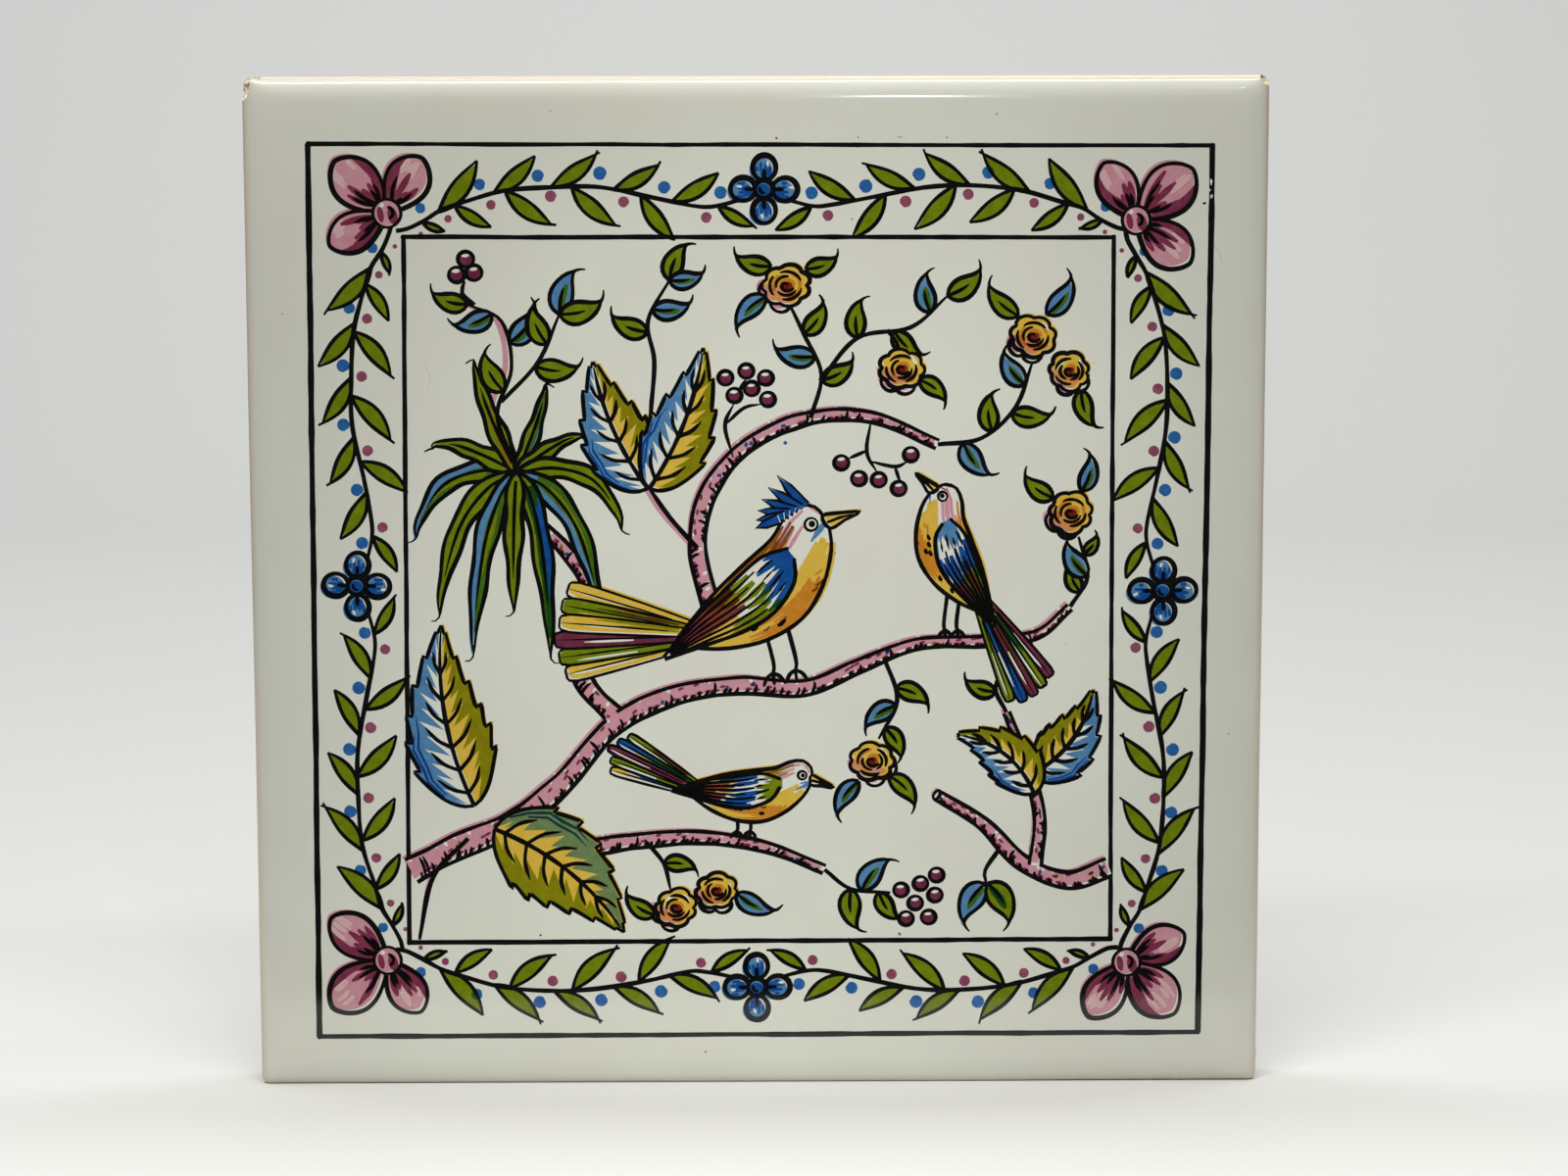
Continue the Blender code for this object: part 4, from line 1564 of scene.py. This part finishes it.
def lay_out(mesh):
    """Fills the map OFBake."""
    sizes = column(mesh.polygons, "loop_total", 1)[:, 0].astype(int)
    spots = column(mesh.vertices, "co", 3)[column(mesh.loops, "vertex_index", 1)[:, 0].astype(int)] / MM
    normals = np.repeat(column(mesh.polygons, "normal", 3), sizes, axis=0)
    middles = np.repeat(column(mesh.polygons, "center", 3), sizes, axis=0) / MM
    share = spots / SIDE + 0.5
    places = MARGIN + share[:, (0, 2)] * FACE_SHARE

    wall = (middles[:, 1] > FACE + CUSHION_DEPTH) & (abs(normals[:, 1]) < 0.5)
    upright = wall & (abs(normals[:, 0]) > abs(normals[:, 2]))
    second = (normals[:, 0] + normals[:, 2] > 0) * STRIP_PITCH
    lane = FIRST_STRIP + second + (spots[:, 1] - FACE - CUSHION_DEPTH) * FACE_SHARE / SIDE
    run = MARGIN + np.where(upright, share[:, 2], share[:, 0]) * FACE_SHARE
    places[wall] = np.stack([run, lane], 1)[wall]
    places[upright] = np.stack([lane, run], 1)[upright]

    back = normals[:, 1] >= 0.5
    places[back] = (np.stack([1 - share[:, 0], share[:, 2]], 1) * BACK_SHARE + FIRST_STRIP + 0.005)[back]
    mesh.uv_layers.new(name="OFBake").data.foreach_set("uv", places.astype(np.float32).ravel())
    return places


places = lay_out(tile_shape)
print(f"The map spans {places.min():.3f} to {places.max():.3f}")

# %% [markdown]
# ## Glaze, biscuit and broken body
#
# The glaze is a clear lead-free gloss over a cream body: hard, smooth and wet to the eye, with the
# faintest ripple of a film that has melted and set. It runs out part of the way down each wall, where
# the bare, chalky biscuit starts. Where a corner broke, the body shows buff and grainy, with small dark
# pits. Each is one Principled shader, because all three are plain surfaces without a metal or a coat.

# %% A shader tree to build on
def shader_tree(material):
    """The material's tree, emptied but for its shader, with Object coordinates."""
    material.use_nodes = True
    tree = material.node_tree
    tree.nodes.clear()
    shader = add_node(tree, "ShaderNodeBsdfPrincipled")
    add_node(tree, "ShaderNodeOutputMaterial", Surface=shader.outputs[0])
    where = add_node(tree, "ShaderNodeTexCoord").outputs["Object"]
    return tree, shader, where


def clouds(tree, where, size, detail=2.0, roughness=0.5):
    """Noise whose blobs are about this many mm wide, from 0 to 1 about 0.5."""
    return add_node(
        tree, "ShaderNodeTexNoise",
        Vector=where, Scale=1.0 / (size * MM), Detail=detail, Roughness=roughness,
    ).outputs[0]


def stretched(tree, value, low_in, high_in, low_out=0.0, high_out=1.0):
    """The value moved from one range to another, and held at its ends."""
    return add_node(
        tree, "ShaderNodeMapRange",
        Value=value, From_Min=low_in, From_Max=high_in, To_Min=low_out, To_Max=high_out,
    ).outputs[0]


def blended(tree, share, first, second, blend="MIX"):
    """Two colours mixed by a share."""
    node = add_node(tree, "ShaderNodeMix", {"data_type": "RGBA", "blend_type": blend}, _0=share)
    for key, colour in ((6, first), (7, second)):
        if isinstance(colour, bpy.types.NodeSocket):
            tree.links.new(colour, node.inputs[key])
        else:
            node.inputs[key].default_value = linear(colour)
    return node.outputs[2]


def relief(tree, shader, height, strength, depth):
    """Fine relief in the shading alone, this many mm deep."""
    bump = add_node(tree, "ShaderNodeBump", Height=height, Strength=strength, Distance=depth * MM)
    tree.links.new(bump.outputs[0], shader.inputs["Normal"])


print("Shader helpers ready")

# %% Clear gloss glaze over the print
# Glass over cream earthenware: sharp highlights, inks that look wet, and a cream that turns warmer over
# the outer roll, partly where the film is thin over the body and partly as a painted warm reflection.
WARM_ROLL_FROM, WARM_ROLL_TO = 0.4, 0.9  # mm behind the face, over which the roll turns warm: thinner glaze, and painted warm reflection
GLAZE_ENDS, BARE_STARTS = -3.3, -3.0  # mm in front of the back, where the glaze runs out on a wall
RUN_OUT_WANDER = 1.2  # mm, how far that line wanders either way
tree, shader, where = shader_tree(clear_glaze)
depth = add_node(tree, "ShaderNodeSeparateXYZ", Vector=where).outputs["Y"]
cream = blended(tree, stretched(tree, clouds(tree, where, 22.0), 0.35, 0.65), GLAZE_CREAM, "CDCEC3")
# The warm tint over the roll: partly thin glaze over the buff body, partly painted warm reflection.
thin_glaze_and_reflection = stretched(tree, depth, (FACE + WARM_ROLL_FROM) * MM, (FACE + WARM_ROLL_TO) * MM, 0.0, 0.6)
cream = blended(tree, thin_glaze_and_reflection, cream, "C8B5A0")
ink = add_node(tree, "ShaderNodeAttribute", {"attribute_name": "print"}).outputs["Color"]
density = stretched(tree, clouds(tree, where, 1.6, 3.0, 0.6), 0.3, 0.7, 0.85, 1.12)
film = add_node(tree, "ShaderNodeGamma", Color=ink, Gamma=density).outputs[0]
printed_cream = blended(tree, 1.0, cream, film, "MULTIPLY")
uneven = stretched(tree, clouds(tree, where, 9.0, 4.0), 0.3, 0.7, -RUN_OUT_WANDER * MM, RUN_OUT_WANDER * MM)
run_out = math_node(tree, "ADD", depth, uneven)
bare_share = stretched(tree, run_out, GLAZE_ENDS * MM, BARE_STARTS * MM)
tree.links.new(blended(tree, bare_share, printed_cream, "C9BEA9"), shader.inputs["Base Color"])
shader.inputs["IOR"].default_value = 1.5
tree.links.new(stretched(tree, bare_share, 0.0, 1.0, 0.09, 0.85), shader.inputs["Roughness"])
relief(tree, shader, clouds(tree, where, 5.0, 1.0), strength=0.25, depth=0.03)
print(f"The glaze has {len(tree.nodes)} nodes")

# %% Bare pressed biscuit
# Fired but unglazed earthenware: matt, pale and chalky, with the fine tooth of the pressed dust.
tree, shader, where = shader_tree(bare_bisque)
tone = stretched(tree, clouds(tree, where, 14.0, 5.0, 0.6), 0.35, 0.65)
tree.links.new(blended(tree, tone, "CFC5B2", "C3B69F"), shader.inputs["Base Color"])
shader.inputs["Roughness"].default_value = 0.9
relief(tree, shader, clouds(tree, where, 0.5, 4.0, 0.7), strength=0.5, depth=0.06)
print(f"The biscuit has {len(tree.nodes)} nodes")

# %% Broken buff earthenware
# The same body inside: buff, granular, with small brown pits where grains of grog have dropped out.
tree, shader, where = shader_tree(broken_body)
tone = stretched(tree, clouds(tree, where, 0.55, 3.0, 0.6), 0.38, 0.62)
buff = blended(tree, tone, "E8DECB", "BDA681")
pits = stretched(tree, clouds(tree, where, 0.30, 2.0, 0.5), 0.56, 0.66)
tree.links.new(blended(tree, pits, buff, "77603F"), shader.inputs["Base Color"])
shader.inputs["Roughness"].default_value = 0.8
relief(tree, shader, clouds(tree, where, 0.35, 3.0, 0.7), strength=0.7, depth=0.08)
print(f"The broken body has {len(tree.nodes)} nodes")

# %% The finished piece
tile = add_object("decorated_tile", tile_shape)
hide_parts("tile")
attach(tile, "root")
print(f"{tile.name} is {tile.dimensions.x / MM:.2f} by {tile.dimensions.z / MM:.2f} mm")

# %% [markdown]
# ## A plain studio
#
# The tile stands on a pale floor that sweeps up into a backdrop, so that no line shows behind it. A gloss
# glaze mirrors whatever is in front of it, so the lights are placed by what the glaze shows of them. Two
# long, thin ones above the tile draw the lines along the top roll, and a short slit far in front draws
# the streak below them. Three broad soft ones, high and one behind the other, light the face evenly and
# mirror only in the roll. A narrow pool of light makes the middle of the face a little brighter than its
# margins, and the floor ends close in front of the tile, because a pale floor would grey the black ink.

# %% Floor and backdrop
def swept_sheet(width, front_y, back_y, height, radius, steps):
    """A floor that turns up into a wall through a quarter circle."""
    turns = [k / steps * pi / 2 for k in range(steps + 1)]
    section = [(front_y, 0.0)]
    section += [(back_y - radius + radius * sin(a), radius - radius * cos(a)) for a in turns]
    section += [(back_y, height)]
    spots = [(x, y, low.z + z) for x in (-width / 2, width / 2) for y, z in section]
    count = len(section)
    sheet = bpy.data.meshes.new("floor_and_backdrop")
    sheet.from_pydata(spots, [], [(k, k + 1, k + count + 1, k + count) for k in range(count - 1)])
    sheet.shade_smooth()
    return sheet


paper = bpy.data.materials.new("matt_grey_paper")
_, shader, _ = shader_tree(paper)
shader.inputs["Base Color"].default_value = linear("D9DAD8")
shader.inputs["Roughness"].default_value = 0.9
sheet = swept_sheet(width=1.36, front_y=-0.061, back_y=1.9, height=3.0, radius=0.9, steps=24)
sheet.materials.append(paper)
backdrop = add_object("floor_and_backdrop", sheet)
print("Floor and backdrop ready")

# %% Lights
WARM_WHITE = "FFFCF5"
WHITE = "FFFFFF"
FACE_CENTRE = (0.0, 0.0, 0.0)


def soft_light(name, place, target, width, height, watts, colour=WHITE, roll=0.0):
    """A rectangular light that looks at its target, turned about its own axis by some degrees."""
    lamp = bpy.data.lights.new(name, "AREA")
    lamp.shape = "RECTANGLE"
    lamp.size = width
    lamp.size_y = height
    lamp.energy = watts
    lamp.color = linear(colour)[:3]
    holder = add_object(name, lamp)
    holder.location = place
    aim = (Vector(target) - Vector(place)).to_track_quat("-Z", "Y").to_matrix().to_4x4()
    holder.rotation_euler = (aim @ Matrix.Rotation(radians(roll), 4, "Z")).to_euler()


soft_light("key", (-0.03, -0.25, 0.38), FACE_CENTRE, 0.50, 0.040, watts=1.15, colour=WARM_WHITE, roll=16)
soft_light("top", (0.0, -0.13, 0.50), (0, 0, 0.05), 0.50, 0.03, watts=0.6, colour=WARM_WHITE, roll=25)
soft_light("slit", (0.082, -1.2, 0.36), (0, 0, 0.07), 0.052, 0.011, watts=0.24)
for step in range(3):  # one behind the other, each higher than the last
    place = (0.05, -1.9 + 0.2 * step, 1.3 + 0.32 * step)
    soft_light(f"front_{step}", place, FACE_CENTRE, 2.4, 1.4, watts=7.2)
soft_light("backdrop", (0.0, 0.35, 1.7), (0, 1.6, 0.2), 2.4, 0.6, watts=31.0)
print(f"{len(bpy.data.lights)} soft lights")

# %% The pool of light and the dim room
POOL_WATTS = 15.0
POOL_WIDTH = 9.5  # degrees
POOL_PLACE = (0.25, -0.9, 0.5)
POOL_TARGET = (0.0, 0.0, -0.008)
ROOM_COLOUR = "E8E9E8"
ROOM_STRENGTH = 0.10
pool = bpy.data.lights.new("pool", "SPOT")
pool.energy = POOL_WATTS
pool.spot_size = radians(POOL_WIDTH)
pool.spot_blend = 1.0
pool.shadow_soft_size = 0.02
spot = add_object("pool", pool)
spot.location = POOL_PLACE
spot.rotation_euler = (Vector(POOL_TARGET) - spot.location).to_track_quat("-Z", "Y").to_euler()
world = bpy.data.worlds.new("pale_room")
bpy.context.scene.world = world
world.use_nodes = True
world.node_tree.nodes["Background"].inputs["Color"].default_value = linear(ROOM_COLOUR)
world.node_tree.nodes["Background"].inputs["Strength"].default_value = ROOM_STRENGTH
bpy.context.scene.view_settings.view_transform = "Standard"
print(f"{len(bpy.data.lights)} lights")

# %% The camera, fitted to the tile's four corners in the picture
IMAGE = (1600, 1200)
FOCAL_PIXELS = 3000.0
CAMERA_PLACE = (0.0015, -0.4476, 0.0451)
CAMERA_TURN, CAMERA_TILT, CAMERA_ROLL = -0.32, -5.86, 0.14  # degrees
lens = bpy.data.cameras.new("camera")
lens.sensor_width = 36.0
lens.lens = FOCAL_PIXELS * lens.sensor_width / IMAGE[0]
lens.clip_start = 0.01
camera = add_object("camera", lens)
aim = Matrix.Rotation(radians(CAMERA_TURN), 4, "Z") @ Matrix.Rotation(radians(CAMERA_TILT), 4, "X")
aim = aim @ Matrix.Rotation(radians(CAMERA_ROLL), 4, "Y") @ Matrix.Rotation(pi / 2, 4, "X")
camera.matrix_world = Matrix.Translation(CAMERA_PLACE) @ aim
bpy.context.scene.camera = camera
print(f"Lens of {lens.lens:.1f} mm")
